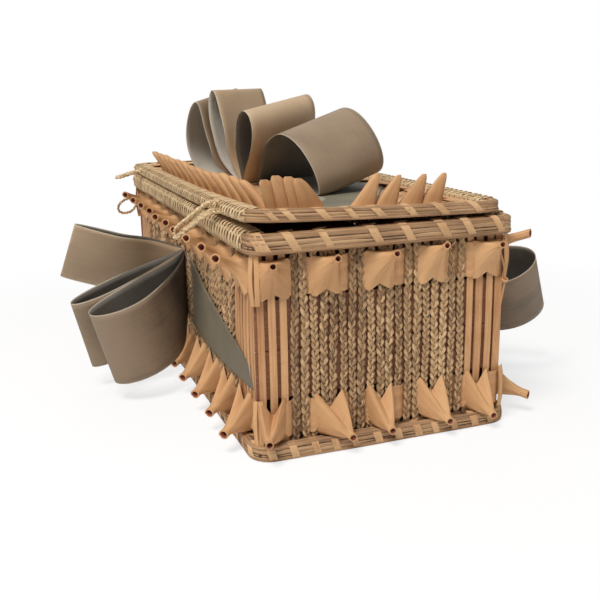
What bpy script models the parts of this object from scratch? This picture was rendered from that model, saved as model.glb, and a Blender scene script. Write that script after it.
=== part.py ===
"""Lidded fancy basket of ash splint and sweetgrass braid, with ribbon bows.

The origin is on the table under the middle of the basket.  X runs across
the short ends, Y along the long sides with the near end at -Y, Z is up.
"""
from dataclasses import dataclass
import math

import bmesh
import bpy
from mathutils import Matrix, Vector

MM = 0.001

# Driving sizes of the whole basket
WIDTH = 140.0 * MM
LENGTH = 322.0 * MM
BODY_HEIGHT = 118.0 * MM
CLEARANCE = 0.3 * MM
OVERRUN = 5.0 * MM

# Walls: upright splints, braided uprights and the wide lining splint
BRAID_DEPTH = 2.2 * MM
SPLINT_DEPTH = 1.0 * MM
LINING_DEPTH = 0.9 * MM
UPRIGHT_SPACE = 1.2 * MM
END_UPRIGHTS = 26
SIDE_UPRIGHTS = 60
END_SPLINTS = 4
SIDE_SPLINTS = 7
END_RUNS = (4, 2, 4, 2, 3, 2, 3, 3, 3)
SIDE_RUNS = (2, 4, 2, 4, 2, 4, 2, 4, 2, 3, 2, 3, 2, 4, 2, 4, 2, 4, 2, 4, 2)

# Bands: the wide weft splints that weave out over some uprights
BAND_WIDTH = 22.0 * MM
BAND_DEPTH = 0.8 * MM
BAND_JOG = 0.6 * MM
BAND_MARGIN = 1.2 * MM

# Points: the porcupine curls that stand out of the bands
POINT_SIDES = 6
POINT_REACH = 16.5 * MM
POINT_TIP_RADIUS = 2.0 * MM
POINT_BASE_RADIUS = 7.6 * MM
POINT_WAIST_RADIUS = 4.6 * MM
TOP_POINT_RISE = 6.5 * MM
BOTTOM_POINT_DROP = 8.5 * MM
POINT_LEAN = 3.0 * MM
POINT_WAIST_SHARE = 0.45

# Base: the woven mat and the hoop bundle round the foot
HOOP_REACH = 5.6 * MM
HOOP_HEIGHT = 8.2 * MM
HOOP_FLANGE = 2.0 * MM
HOOP_LEDGE = 4.0 * MM
HOOP_CORNER = 12.0 * MM
BASE_MAT_DEPTH = 1.4 * MM
BUNDLE_ROUND = 2.2 * MM

# Rim of the body
RIM_REACH = 5.1 * MM
RIM_HEIGHT = 9.2 * MM
RIM_CAP = 2.4 * MM
RIM_CORNER = 8.0 * MM
INNER_RIM_DEPTH = 3.2 * MM

# Lid
LID_LIFT = 2.4 * MM
LID_RIM_HEIGHT = 9.0 * MM
LID_RIM_DEPTH = 5.6 * MM
LID_FLANGE = 1.6 * MM
LID_LEDGE = 3.4 * MM
LID_MAT_DEPTH = 1.2 * MM
LID_CORNER = 12.0 * MM
LID_SHORT_OF_RIM_X = 3.5 * MM
LID_SHORT_OF_RIM_Y = 1.0 * MM
LID_SET_LEFT = 2.5 * MM
LID_TOP_HOOP_DEPTH = 3.4 * MM
LID_TOP_HOOP_HEIGHT = 4.6 * MM
HINGE_OUTSET = 0.9 * MM

# Lashing splints round the two rims
LASH_WIDTH = 3.2 * MM
LASH_DEPTH = 0.6 * MM
LASH_EDGE = 0.5 * MM
LASH_UPRIGHTS = 4
LASH_CORNER_UPRIGHTS = 2
LASH_SLOT = 4.2 * MM

# Points on the lid
LID_POINT_HEIGHT = 17.0 * MM
LID_POINT_TOP_SHARE = 0.2
LID_POINT_STRIP = 9.0 * MM
LID_POINT_STRIP_DEPTH = 0.8 * MM
LID_POINT_LEAN = 4.0 * MM
LID_POINT_INSET = 1.0 * MM
LID_ROW_SPACE = 2.0 * MM
LONG_ROW_COUNT = 13
SHORT_ROW_COUNT = 8

# Ribbon: a loop leaves its root, turns back at its tip and returns beside itself
RIBBON_WIDTH = 50.0 * MM
RIBBON_ROOT_WIDTH = 42.0 * MM
RIBBON_DEPTH = 0.5 * MM
RIBBON_LEG = 0.5 * MM
RIBBON_STEPS = 14
RIBBON_STAND = 1.1 * MM
ROOT_STEP = 3.4 * MM
ROOT_SHARE = 0.06
SWELL_SHARE = 1.3
BLEND_SHARE = 1.5
WALL_ROOT_RISE = 4.1 * MM
RIGHT_ROOT_FORWARD = 28.0 * MM
TAIL_STEPS = 8
TAIL_START = 7.0 * MM
WALL_TAIL_LENGTH = 138.0 * MM
WALL_TAIL_RISE = 37.5 * MM
WALL_TAIL_END = 4.0 * MM
WALL_TAIL_BULGE = 3.5 * MM

# Edges of the two flat tails on the lid, from the bow outwards, as shares of the clear
# half width and half length between the rows of points
NEAR_TAIL_LEFT = ((0.029, -0.097), (-0.353, -0.729), (-0.446, -0.942))
NEAR_TAIL_RIGHT = ((0.945, -0.097), (0.945, -0.421), (0.107, -0.972))
FAR_TAIL_LEFT = ((-0.692, 0.152), (-0.653, 0.518), (-0.614, 0.905))
FAR_TAIL_RIGHT = ((0.283, 0.152), (0.322, 0.414), (0.361, 0.725))

# Hinge loops of braided sweetgrass
CORD_RADIUS = 1.5 * MM
CORD_SIDES = 8
ROUTE_STEPS = 3
STRAND_SPACE = 4.6 * MM
NEAR_LOOP_UPRIGHTS = 13
NEAR_LOOP_SLANT = 9.8 * MM
NEAR_LOOP_OUT = 15.0 * MM
NEAR_LOOP_DROP = 7.3 * MM
FAR_LOOP_INSET = 41.5 * MM
FAR_LOOP_OUT = 18.0 * MM
FAR_LOOP_DROP = 4.0 * MM
RING_INSET = 4.6 * MM
RING_RADIUS = 5.4 * MM
RING_CORD_RADIUS = 1.2 * MM
RING_DROP = 15.8 * MM
RING_STEPS = 14

ASH_COLOR = (0.54, 0.31, 0.15, 1.0)
BRAID_COLOR = (0.47, 0.32, 0.17, 1.0)
LASH_COLOR = (0.60, 0.39, 0.20, 1.0)
RIBBON_COLOR = (0.25, 0.19, 0.14, 1.0)

# Sizes that follow from the ones above
HALF_WIDTH = WIDTH / 2
HALF_LENGTH = LENGTH / 2
BACK_X = HALF_WIDTH - BRAID_DEPTH
BACK_Y = HALF_LENGTH - BRAID_DEPTH
CORNER_WEFT_ROOM = BAND_DEPTH + 2 * CLEARANCE
END_RUN_HALF = BACK_X - CORNER_WEFT_ROOM
SIDE_RUN_HALF = HALF_LENGTH
RIM_BOTTOM = BODY_HEIGHT - RIM_HEIGHT
BOTTOM_BAND_LOW = HOOP_HEIGHT + BAND_MARGIN
BOTTOM_BAND_HIGH = BOTTOM_BAND_LOW + BAND_WIDTH
TOP_BAND_HIGH = RIM_BOTTOM - 2 * BAND_MARGIN
TOP_BAND_LOW = TOP_BAND_HIGH - BAND_WIDTH
UPRIGHT_LOW = HOOP_FLANGE + CLEARANCE
UPRIGHT_HIGH = BODY_HEIGHT - RIM_CAP - CLEARANCE
LID_BOTTOM = BODY_HEIGHT + LID_LIFT
LID_MAT_LOW = LID_BOTTOM + LID_FLANGE + CLEARANCE
LID_MAT_HIGH = LID_MAT_LOW + LID_MAT_DEPTH
LID_TOP = LID_BOTTOM + LID_RIM_HEIGHT
LID_HALF_X = HALF_WIDTH + RIM_REACH - LID_SHORT_OF_RIM_X
LID_HALF_Y = HALF_LENGTH + RIM_REACH - LID_SHORT_OF_RIM_Y
LID_MAT_HALF_X = LID_HALF_X - LID_RIM_DEPTH - CLEARANCE
LID_MAT_HALF_Y = LID_HALF_Y - LID_RIM_DEPTH - CLEARANCE
LID_EDGE_X = -LID_HALF_X - LID_SET_LEFT
LID_ROW_X = LID_MAT_HALF_X - LID_TOP_HOOP_DEPTH - LID_ROW_SPACE
LID_ROW_Y = LID_MAT_HALF_Y - LID_TOP_HOOP_DEPTH - LID_ROW_SPACE
TAIL_FLOOR = LID_MAT_HIGH + CLEARANCE
LEG_FLOOR = TAIL_FLOOR + RIBBON_DEPTH
LOOP_FLOOR = LEG_FLOOR + CLEARANCE + RIBBON_DEPTH
HINGE_X = -(HALF_WIDTH + RIM_REACH + HINGE_OUTSET)
HINGE_Z = BODY_HEIGHT + LID_LIFT / 2
LID_PIECE_STARTS = ("lid_", "top_bow_", "hinge_loop_far")


def clear_scene():
    """Remove whatever the scene holds."""
    for old in list(bpy.data.objects):
        bpy.data.objects.remove(old, do_unlink=True)


def make_material(name, color, roughness):
    """Return a Principled material of one colour."""
    material = bpy.data.materials.new(name)
    material.use_nodes = True
    shader = material.node_tree.nodes["Principled BSDF"]
    shader.inputs["Base Color"].default_value = color
    shader.inputs["Roughness"].default_value = roughness
    shader.inputs["Metallic"].default_value = 0.0
    return material


def ash_material():
    return make_material("ash_splint", ASH_COLOR, 0.6)


def braid_material():
    return make_material("sweetgrass_braid", BRAID_COLOR, 0.75)


def lash_material():
    return make_material("lashing_splint", LASH_COLOR, 0.6)


def ribbon_material():
    return make_material("ribbon", RIBBON_COLOR, 0.5)


def finish_mesh(name, bm, material):
    """Turn a bmesh into a named object of one material."""
    bmesh.ops.recalc_face_normals(bm, faces=bm.faces)
    mesh = bpy.data.meshes.new(name)
    bm.to_mesh(mesh)
    bm.free()
    mesh.materials.append(material)
    made = bpy.data.objects.new(name, mesh)
    bpy.context.scene.collection.objects.link(made)
    return made


def add_box(bm, low, high):
    """Add a box between two corners and return its vertices."""
    size = Vector(high) - Vector(low)
    middle = (Vector(high) + Vector(low)) / 2
    made = bmesh.ops.create_cube(bm, size=1.0)["verts"]
    bmesh.ops.scale(bm, vec=size, verts=made)
    bmesh.ops.translate(bm, vec=middle, verts=made)
    return made


def add_cutter(target, low, high, label):
    """Cut a box out of target."""
    bm = bmesh.new()
    add_box(bm, low, high)
    mesh = bpy.data.meshes.new(label)
    bm.to_mesh(mesh)
    bm.free()
    cutter = bpy.data.objects.new(label, mesh)
    cutter.hide_render = True
    cutter.display_type = 'WIRE'
    bpy.context.scene.collection.objects.link(cutter)
    cut = target.modifiers.new(label, 'BOOLEAN')
    cut.operation = 'DIFFERENCE'
    cut.solver = 'EXACT'
    cut.object = cutter
    return cutter


def rounded_slab(half_x, half_y, corner, low, high, edge_round, middle_x=0.0):
    """Return a bmesh slab with round plan corners and softened long edges."""
    bm = bmesh.new()
    add_box(bm, (-half_x, -half_y, low), (half_x, half_y, high))
    upright = [e for e in bm.edges
               if abs(e.verts[0].co.z - e.verts[1].co.z) > (high - low) / 2]
    bmesh.ops.bevel(bm, geom=upright, offset=corner, offset_type='OFFSET', segments=4,
                    profile=0.5, affect='EDGES', material=-1)
    if edge_round:
        flat = [e for e in bm.edges
                if abs(e.verts[0].co.z - e.verts[1].co.z) < (high - low) / 2]
        bmesh.ops.bevel(bm, geom=flat, offset=edge_round, offset_type='OFFSET', segments=2,
                        profile=0.5, affect='EDGES', material=-1)
    bmesh.ops.translate(bm, vec=(middle_x, 0.0, 0.0), verts=bm.verts)
    return bm


def upright_pitch(count, run_half):
    """Spacing of the uprights along a wall."""
    return 2 * run_half / count


def build_wall(name, count, run_half, back, splints, turn, material):
    """One wall: a lining splint with its uprights standing through both bands.

    It is made as the near wall, with its back plane at y = 0, and then turned.
    """
    pitch = upright_pitch(count, run_half)
    lining_low = BOTTOM_BAND_HIGH + CLEARANCE
    lining_high = TOP_BAND_LOW - CLEARANCE
    edges_along = [-run_half]
    for i in range(count):
        left = -run_half + i * pitch + UPRIGHT_SPACE / 2
        edges_along += [left, left + pitch - UPRIGHT_SPACE]
    edges_along.append(run_half)
    bm = bmesh.new()
    low = [bm.verts.new((s, 0.0, lining_low)) for s in edges_along]
    high = [bm.verts.new((s, 0.0, lining_high)) for s in edges_along]
    columns = [bm.faces.new((low[i], low[i + 1], high[i + 1], high[i]))
               for i in range(len(low) - 1)]
    sheet = bmesh.ops.extrude_face_region(bm, geom=columns)["geom"]
    back_verts = [g for g in sheet if isinstance(g, bmesh.types.BMVert)]
    bmesh.ops.translate(bm, verts=back_verts, vec=(0.0, LINING_DEPTH, 0.0))
    bmesh.ops.recalc_face_normals(bm, faces=bm.faces)
    for i in range(count):
        face = columns[1 + 2 * i]
        plain = i < splints or i >= count - splints
        depth = SPLINT_DEPTH if plain else BRAID_DEPTH
        front = bmesh.ops.extrude_discrete_faces(bm, faces=[face])["faces"][0]
        bmesh.ops.translate(bm, verts=front.verts, vec=(0.0, -depth, 0.0))
        ends = [f for e in front.edges for f in e.link_faces
                if f is not front and abs(f.normal.z) > 0.5]
        for end in ends:
            end.normal_update()
        for end in ends:
            up = end.calc_center_median().z > (lining_low + lining_high) / 2
            reach = UPRIGHT_HIGH - lining_high if up else UPRIGHT_LOW - lining_low
            tooth = bmesh.ops.extrude_discrete_faces(bm, faces=[end])["faces"][0]
            bmesh.ops.translate(bm, verts=tooth.verts, vec=(0.0, 0.0, reach))
    bmesh.ops.dissolve_limit(bm, angle_limit=math.radians(1.0), use_dissolve_boundaries=False,
                             verts=bm.verts, edges=bm.edges)
    bmesh.ops.translate(bm, verts=bm.verts, vec=(0.0, -back, 0.0))
    bmesh.ops.rotate(bm, verts=bm.verts, cent=(0, 0, 0), matrix=Matrix.Rotation(turn, 3, 'Z'))
    return finish_mesh(name, bm, material)


def wall_frames():
    """The four walls in order round the basket, seen from outside."""
    return (
        ("near_wall", END_UPRIGHTS, END_RUN_HALF, BACK_Y, END_SPLINTS, 0.0),
        ("right_wall", SIDE_UPRIGHTS, SIDE_RUN_HALF, BACK_X, SIDE_SPLINTS, math.pi / 2),
        ("far_wall", END_UPRIGHTS, END_RUN_HALF, BACK_Y, END_SPLINTS, math.pi),
        ("left_wall", SIDE_UPRIGHTS, SIDE_RUN_HALF, BACK_X, SIDE_SPLINTS, 3 * math.pi / 2),
    )


def build_walls(material):
    for name, count, run_half, back, splints, turn in wall_frames():
        build_wall(name, count, run_half, back, splints, turn, material)


def band_plan():
    """Outer and inner plan points of a band, and the squares that show outside."""
    over_out = BRAID_DEPTH + CLEARANCE + BAND_DEPTH
    over_in = BRAID_DEPTH + CLEARANCE
    under_out = -CLEARANCE
    under_in = -CLEARANCE - BAND_DEPTH
    jog = BAND_JOG / 2
    outer, inner, squares = [], [], []
    for _, count, run_half, back, _, turn in wall_frames():
        spin = Matrix.Rotation(turn, 3, 'Z')
        is_end = count == END_UPRIGHTS
        runs = END_RUNS if is_end else SIDE_RUNS
        pitch = upright_pitch(count, run_half)

        def put(points, s, d):
            points.append(spin @ Vector((s, -back - d, 0.0)))

        if is_end:
            corner_out = BACK_X - CLEARANCE
            corner_in = corner_out - BAND_DEPTH
            put(outer, -corner_out, over_out)
            put(inner, -corner_in, over_in)
        over = is_end
        at = 0
        for run in runs:
            if over:
                first = -run_half + at * pitch
                last = first + run * pitch
                squares.append((spin, back, (first + last) / 2, last - first))
            at += run
            if at == count:
                break
            seam = -run_half + at * pitch
            side = jog if over else -jog
            if over:
                put(outer, seam + side, over_out)
                put(outer, seam + side, under_out)
                put(inner, seam - side, over_in)
                put(inner, seam - side, under_in)
            else:
                put(outer, seam + side, under_out)
                put(outer, seam + side, over_out)
                put(inner, seam - side, under_in)
                put(inner, seam - side, over_in)
            over = not over
        if is_end:
            put(outer, corner_out, over_out)
            put(inner, corner_in, over_in)
    return outer, inner, squares


def hexagon(bm, frame, radius_s, radius_z):
    """Ring of vertices in the plane of a wall."""
    ring = []
    for k in range(POINT_SIDES):
        angle = 2 * math.pi * (k + 0.5) / POINT_SIDES
        ring.append(bm.verts.new(frame(radius_s * math.cos(angle), radius_z * math.sin(angle))))
    return ring


def add_point(bm, face, spin, out, middle, wide, mid_z, rise, lean):
    """Grow one curled point out of the outer face of a square."""
    rim_edges = list(face.edges)
    bmesh.ops.delete(bm, geom=[face], context='FACES_ONLY')
    base_z = BAND_WIDTH / 2 - BAND_MARGIN
    base_s = min(wide / 2 - BAND_MARGIN, POINT_BASE_RADIUS)

    def place(share):
        def frame(s, z):
            return spin @ Vector((middle + s + lean * share,
                                  -out - POINT_REACH * share, mid_z + z + rise * share))
        return frame

    base = hexagon(bm, place(0.0), base_s, base_z)
    ring_edges = [bm.edges.new((base[k], base[(k + 1) % POINT_SIDES])) for k in range(POINT_SIDES)]
    bmesh.ops.triangle_fill(bm, use_beauty=True, use_dissolve=False, edges=rim_edges + ring_edges)
    filled = [f for f in bm.faces if all(v in base for v in f.verts)]
    if filled:
        bmesh.ops.delete(bm, geom=filled, context='FACES_ONLY')
    last = base
    for share, radius in ((POINT_WAIST_SHARE, POINT_WAIST_RADIUS), (1.0, POINT_TIP_RADIUS)):
        ring = hexagon(bm, place(share), radius, radius)
        for k in range(POINT_SIDES):
            n = (k + 1) % POINT_SIDES
            bm.faces.new((last[k], last[n], ring[n], ring[k]))
        last = ring
    bm.faces.new(last)


def build_band(name, low, rise, material):
    """A wide splint that weaves round the basket, with its curled points."""
    outer, inner, squares = band_plan()
    bm = bmesh.new()
    outs = [bm.verts.new(p + Vector((0, 0, low))) for p in outer]
    ins = [bm.verts.new(p + Vector((0, 0, low))) for p in inner]
    count = len(outs)
    plan = []
    for i in range(count):
        n = (i + 1) % count
        plan.append(bm.faces.new((outs[i], outs[n], ins[n], ins[i])))
    raised = bmesh.ops.extrude_face_region(bm, geom=plan)["geom"]
    bmesh.ops.translate(bm, verts=[g for g in raised if isinstance(g, bmesh.types.BMVert)],
                        vec=(0.0, 0.0, BAND_WIDTH))
    bmesh.ops.recalc_face_normals(bm, faces=bm.faces)
    out_depth = BRAID_DEPTH + CLEARANCE + BAND_DEPTH
    mid_z = low + BAND_WIDTH / 2
    for number, (spin, back, middle, wide) in enumerate(squares):
        out = back + out_depth
        target = spin @ Vector((middle, -out, mid_z))
        outward = spin @ Vector((0.0, -1.0, 0.0))
        face = min((f for f in bm.faces if f.normal.dot(outward) > 0.9),
                   key=lambda f: (f.calc_center_median() - target).length)
        lean = POINT_LEAN if number % 2 else -POINT_LEAN
        add_point(bm, face, spin, out, middle, wide, mid_z, rise, lean)
    return finish_mesh(name, bm, material)


def build_base_mat(material):
    bm = bmesh.new()
    half_x = BACK_X - LINING_DEPTH - CLEARANCE
    half_y = BACK_Y - LINING_DEPTH - CLEARANCE
    low = HOOP_FLANGE + CLEARANCE
    add_box(bm, (-half_x, -half_y, low), (half_x, half_y, low + BASE_MAT_DEPTH))
    return finish_mesh("base_mat", bm, material)


def build_base_hoop(material):
    """Hoop bundle round the foot, with a ledge that the mat and uprights stand on."""
    half_x = HALF_WIDTH + HOOP_REACH
    half_y = HALF_LENGTH + HOOP_REACH
    bm = rounded_slab(half_x, half_y, HOOP_CORNER, 0.0, HOOP_HEIGHT, BUNDLE_ROUND)
    hoop = finish_mesh("base_hoop", bm, material)
    slot_x = HALF_WIDTH + CLEARANCE
    slot_y = HALF_LENGTH + CLEARANCE
    add_cutter(hoop, (-slot_x, -slot_y, HOOP_FLANGE), (slot_x, slot_y, HOOP_HEIGHT + OVERRUN),
               "hoop_slot_cutter")
    ledge_x = BACK_X - HOOP_LEDGE
    ledge_y = BACK_Y - HOOP_LEDGE
    add_cutter(hoop, (-ledge_x, -ledge_y, -OVERRUN), (ledge_x, ledge_y, HOOP_HEIGHT + OVERRUN),
               "hoop_opening_cutter")
    return hoop


def build_body_rim(material):
    """Rim bundle outside the uprights, with a cap that covers their ends."""
    half_x = HALF_WIDTH + RIM_REACH
    half_y = HALF_LENGTH + RIM_REACH
    bm = rounded_slab(half_x, half_y, RIM_CORNER, RIM_BOTTOM, BODY_HEIGHT, BUNDLE_ROUND)
    rim = finish_mesh("body_rim", bm, material)
    slot_x = HALF_WIDTH + CLEARANCE
    slot_y = HALF_LENGTH + CLEARANCE
    add_cutter(rim, (-slot_x, -slot_y, RIM_BOTTOM - OVERRUN),
               (slot_x, slot_y, BODY_HEIGHT - RIM_CAP), "rim_slot_cutter")
    add_cutter(rim, (-BACK_X, -BACK_Y, RIM_BOTTOM - OVERRUN),
               (BACK_X, BACK_Y, BODY_HEIGHT + OVERRUN), "rim_opening_cutter")
    return rim


def build_body_rim_inner(material):
    """Plain hoop inside the tops of the uprights."""
    half_x = BACK_X - CLEARANCE
    half_y = BACK_Y - CLEARANCE
    bm = bmesh.new()
    add_box(bm, (-half_x, -half_y, RIM_BOTTOM), (half_x, half_y, BODY_HEIGHT))
    hoop = finish_mesh("body_rim_inner", bm, material)
    open_x = half_x - INNER_RIM_DEPTH
    open_y = half_y - INNER_RIM_DEPTH
    add_cutter(hoop, (-open_x, -open_y, RIM_BOTTOM - OVERRUN),
               (open_x, open_y, BODY_HEIGHT + OVERRUN), "inner_rim_cutter")
    return hoop


def lash_sites(count, run_half, step):
    """Places along a wall where the lashing passes between two uprights."""
    pitch = upright_pitch(count, run_half)
    first = LASH_CORNER_UPRIGHTS
    sites = []
    at = first
    while at <= count - first:
        sites.append(-run_half + at * pitch)
        at += step
    return sites


def add_section(bm, spin, corners, shift):
    """One cross-section of a lashing splint, given as (s, d, z) corners."""
    return [bm.verts.new(spin @ Vector((s, -d, z)) + shift) for s, d, z in corners]


def skin_sections(bm, sections):
    """Skin a chain of four-cornered sections and cap both ends."""
    for a, b in zip(sections, sections[1:]):
        for k in range(4):
            n = (k + 1) % 4
            bm.faces.new((a[k], a[n], b[n], b[k]))
    bm.faces.new(sections[0])
    bm.faces.new(sections[-1][::-1])


def flat_section(s, d, z, out, up):
    """Section of a lashing splint lying flat on a face, out and up from its corner."""
    half = LASH_WIDTH / 2
    return ((s - half, d, z), (s + half, d, z),
            (s + half, d + out * LASH_DEPTH, z + up * LASH_DEPTH),
            (s - half, d + out * LASH_DEPTH, z + up * LASH_DEPTH))


def edge_section(s, d, z):
    """Section of a lashing splint turned on edge between two uprights."""
    edge = LASH_EDGE / 2
    return ((s - edge, d, z), (s + edge, d, z),
            (s + edge, d, z - LASH_DEPTH), (s - edge, d, z - LASH_DEPTH))


def body_turn(site, inside, outside, bottom, top, slots):
    """One turn round the body rim, through the wall between two uprights."""
    return ([flat_section(site, inside, bottom, -1, -1)]
            + [edge_section(site, d, bottom) for d in slots]
            + [flat_section(site, outside, bottom, 1, -1),
               flat_section(site + LASH_WIDTH, outside, top, 1, 1),
               flat_section(site + LASH_WIDTH, inside, top, -1, 1)])


def lid_turn(site, inside, outside, bottom, top, _):
    """One turn round the lid rim, down through a notch in the mat."""
    return [flat_section(site, outside, bottom, 1, -1),
            flat_section(site + LASH_WIDTH, outside, top, 1, 1),
            flat_section(site + LASH_WIDTH, inside, top, -1, 1),
            flat_section(site + LASH_WIDTH, inside, bottom, -1, -1)]


def build_lashing(name, walls, one_turn, bottom, top, material, shift):
    """A long narrow splint wound round a rim."""
    bm = bmesh.new()
    sections = []
    for sites, inside, outside, slots, turn in walls:
        spin = Matrix.Rotation(turn, 3, 'Z')
        for site in sites:
            for corners in one_turn(site, inside, outside, bottom, top, slots):
                sections.append(add_section(bm, spin, corners, shift))
    skin_sections(bm, sections)
    return finish_mesh(name, bm, material)


def build_body_lashing(material):
    walls = []
    for _, count, run_half, back, _, turn in wall_frames():
        inside = back - CLEARANCE - INNER_RIM_DEPTH - CLEARANCE
        outside = back + BRAID_DEPTH + RIM_REACH + CLEARANCE
        slots = (back - CLEARANCE, back + BRAID_DEPTH + CLEARANCE)
        sites = lash_sites(count, run_half, LASH_UPRIGHTS)
        walls.append((sites, inside, outside, slots, turn))
    return build_lashing("body_rim_lashing", walls, body_turn, RIM_BOTTOM - CLEARANCE,
                         BODY_HEIGHT + CLEARANCE, material, Vector((0, 0, 0)))


def lid_lash_walls():
    """Lashing places round the lid, in the order of the walls."""
    walls = []
    for _, count, run_half, _, _, turn in wall_frames():
        half = LID_HALF_Y if count == END_UPRIGHTS else LID_HALF_X
        inside = half - LID_RIM_DEPTH - LID_TOP_HOOP_DEPTH - 3 * CLEARANCE
        sites = lash_sites(count, run_half, LASH_UPRIGHTS)
        walls.append((sites, inside, half + CLEARANCE, (), turn))
    return walls


def build_lid_lashing(material):
    return build_lashing("lid_rim_lashing", lid_lash_walls(), lid_turn, LID_BOTTOM - CLEARANCE,
                         LID_TOP + CLEARANCE, material, Vector((-LID_SET_LEFT, 0, 0)))


def build_lid_mat(material):
    """Woven top of the lid, notched where the lashing passes its edge."""
    bm = bmesh.new()
    outline = []
    for sites, inside, _, _, turn in lid_lash_walls():
        spin = Matrix.Rotation(turn, 3, 'Z')
        is_end = abs(math.sin(turn)) < 0.5
        edge = LID_MAT_HALF_Y if is_end else LID_MAT_HALF_X
        notch = inside - LASH_DEPTH - CLEARANCE
        reach = LID_MAT_HALF_X if is_end else LID_MAT_HALF_Y
        outline.append(spin @ Vector((-reach, -edge, LID_MAT_LOW)))
        for site in sites:
            left = site + LASH_WIDTH - LASH_SLOT / 2
            right = site + LASH_WIDTH + LASH_SLOT / 2
            for s, d in ((left, edge), (left, notch), (right, notch), (right, edge)):
                outline.append(spin @ Vector((s, -d, LID_MAT_LOW)))
    sheet = bm.faces.new([bm.verts.new(p) for p in outline])
    raised = bmesh.ops.extrude_face_region(bm, geom=[sheet])["geom"]
    bmesh.ops.translate(bm, verts=[g for g in raised if isinstance(g, bmesh.types.BMVert)],
                        vec=(0.0, 0.0, LID_MAT_DEPTH))
    bmesh.ops.translate(bm, verts=bm.verts, vec=(-LID_SET_LEFT, 0.0, 0.0))
    return finish_mesh("lid_mat", bm, material)


def build_lid_rim(material):
    """Bundle round the lid with a ledge that carries the mat."""
    bm = rounded_slab(LID_HALF_X, LID_HALF_Y, LID_CORNER, LID_BOTTOM, LID_TOP, BUNDLE_ROUND,
                      -LID_SET_LEFT)
    rim = finish_mesh("lid_rim", bm, material)
    slot_x = LID_MAT_HALF_X + CLEARANCE
    slot_y = LID_MAT_HALF_Y + CLEARANCE
    add_cutter(rim, (-slot_x - LID_SET_LEFT, -slot_y, LID_BOTTOM + LID_FLANGE),
               (slot_x - LID_SET_LEFT, slot_y, LID_TOP + OVERRUN), "lid_slot_cutter")
    open_x = LID_HALF_X - LID_RIM_DEPTH - LID_LEDGE
    open_y = LID_HALF_Y - LID_RIM_DEPTH - LID_LEDGE
    add_cutter(rim, (-open_x - LID_SET_LEFT, -open_y, LID_BOTTOM - OVERRUN),
               (open_x - LID_SET_LEFT, open_y, LID_TOP + OVERRUN), "lid_opening_cutter")
    return rim


def build_lid_top_hoop(material):
    """Hoop that presses the edge of the mat down on its ledge."""
    low = LID_MAT_HIGH + CLEARANCE
    bm = bmesh.new()
    add_box(bm, (-LID_MAT_HALF_X - LID_SET_LEFT, -LID_MAT_HALF_Y, low),
            (LID_MAT_HALF_X - LID_SET_LEFT, LID_MAT_HALF_Y, low + LID_TOP_HOOP_HEIGHT))
    hoop = finish_mesh("lid_top_hoop", bm, material)
    open_x = LID_MAT_HALF_X - LID_TOP_HOOP_DEPTH
    open_y = LID_MAT_HALF_Y - LID_TOP_HOOP_DEPTH
    add_cutter(hoop, (-open_x - LID_SET_LEFT, -open_y, low - OVERRUN),
               (open_x - LID_SET_LEFT, open_y, LID_TOP + OVERRUN), "lid_top_hoop_cutter")
    return hoop


def build_lid_points(name, count, half_run, out, turn, material):
    """A strip with a row of standing points, folded out of one splint."""
    low = LID_MAT_HIGH + CLEARANCE
    high = low + LID_POINT_STRIP_DEPTH
    pitch = 2 * half_run / count
    bm = bmesh.new()
    front = [bm.verts.new((-half_run + i * pitch, -out, high)) for i in range(count + 1)]
    rear = [bm.verts.new((-half_run + i * pitch, -out + LID_POINT_STRIP, high))
            for i in range(count + 1)]
    cells = [bm.faces.new((front[i], front[i + 1], rear[i + 1], rear[i])) for i in range(count)]
    lowered = bmesh.ops.extrude_face_region(bm, geom=cells)["geom"]
    bmesh.ops.translate(bm, verts=[g for g in lowered if isinstance(g, bmesh.types.BMVert)],
                        vec=(0.0, 0.0, -LID_POINT_STRIP_DEPTH))
    bmesh.ops.recalc_face_normals(bm, faces=bm.faces)
    for cell in cells:
        bmesh.ops.inset_individual(bm, faces=[cell], thickness=LID_POINT_INSET,
                                   use_even_offset=True)
        tip = bmesh.ops.extrude_discrete_faces(bm, faces=[cell])["faces"][0]
        middle = tip.calc_center_median()
        bmesh.ops.scale(bm, verts=tip.verts, vec=(LID_POINT_TOP_SHARE,) * 3,
                        space=Matrix.Translation(-middle))
        bmesh.ops.translate(bm, verts=tip.verts,
                            vec=(-LID_POINT_LEAN, 0.0, LID_POINT_HEIGHT))
    bmesh.ops.rotate(bm, verts=bm.verts, cent=(0, 0, 0), matrix=Matrix.Rotation(turn, 3, 'Z'))
    bmesh.ops.translate(bm, verts=bm.verts, vec=(-LID_SET_LEFT, 0.0, 0.0))
    return finish_mesh(name, bm, material)


def build_lid_rows(material):
    end_half = LID_ROW_X - LID_POINT_STRIP - LID_ROW_SPACE
    rows = (("lid_points_near", SHORT_ROW_COUNT, end_half, LID_ROW_Y, 0.0),
            ("lid_points_right", LONG_ROW_COUNT, LID_ROW_Y, LID_ROW_X, math.pi / 2),
            ("lid_points_far", SHORT_ROW_COUNT, end_half, LID_ROW_Y, math.pi),
            ("lid_points_left", LONG_ROW_COUNT, LID_ROW_Y, LID_ROW_X, 3 * math.pi / 2))
    for name, count, half_run, out, turn in rows:
        build_lid_points(name, count, half_run, out, turn, material)


@dataclass
class RibbonLoop:
    """A loop of ribbon, its reach, side, fullness and arch in widths of the ribbon."""
    name: str
    step: float
    side: float
    reach: tuple
    across: tuple
    fullness: float
    arch: float
    pinch: float


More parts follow.
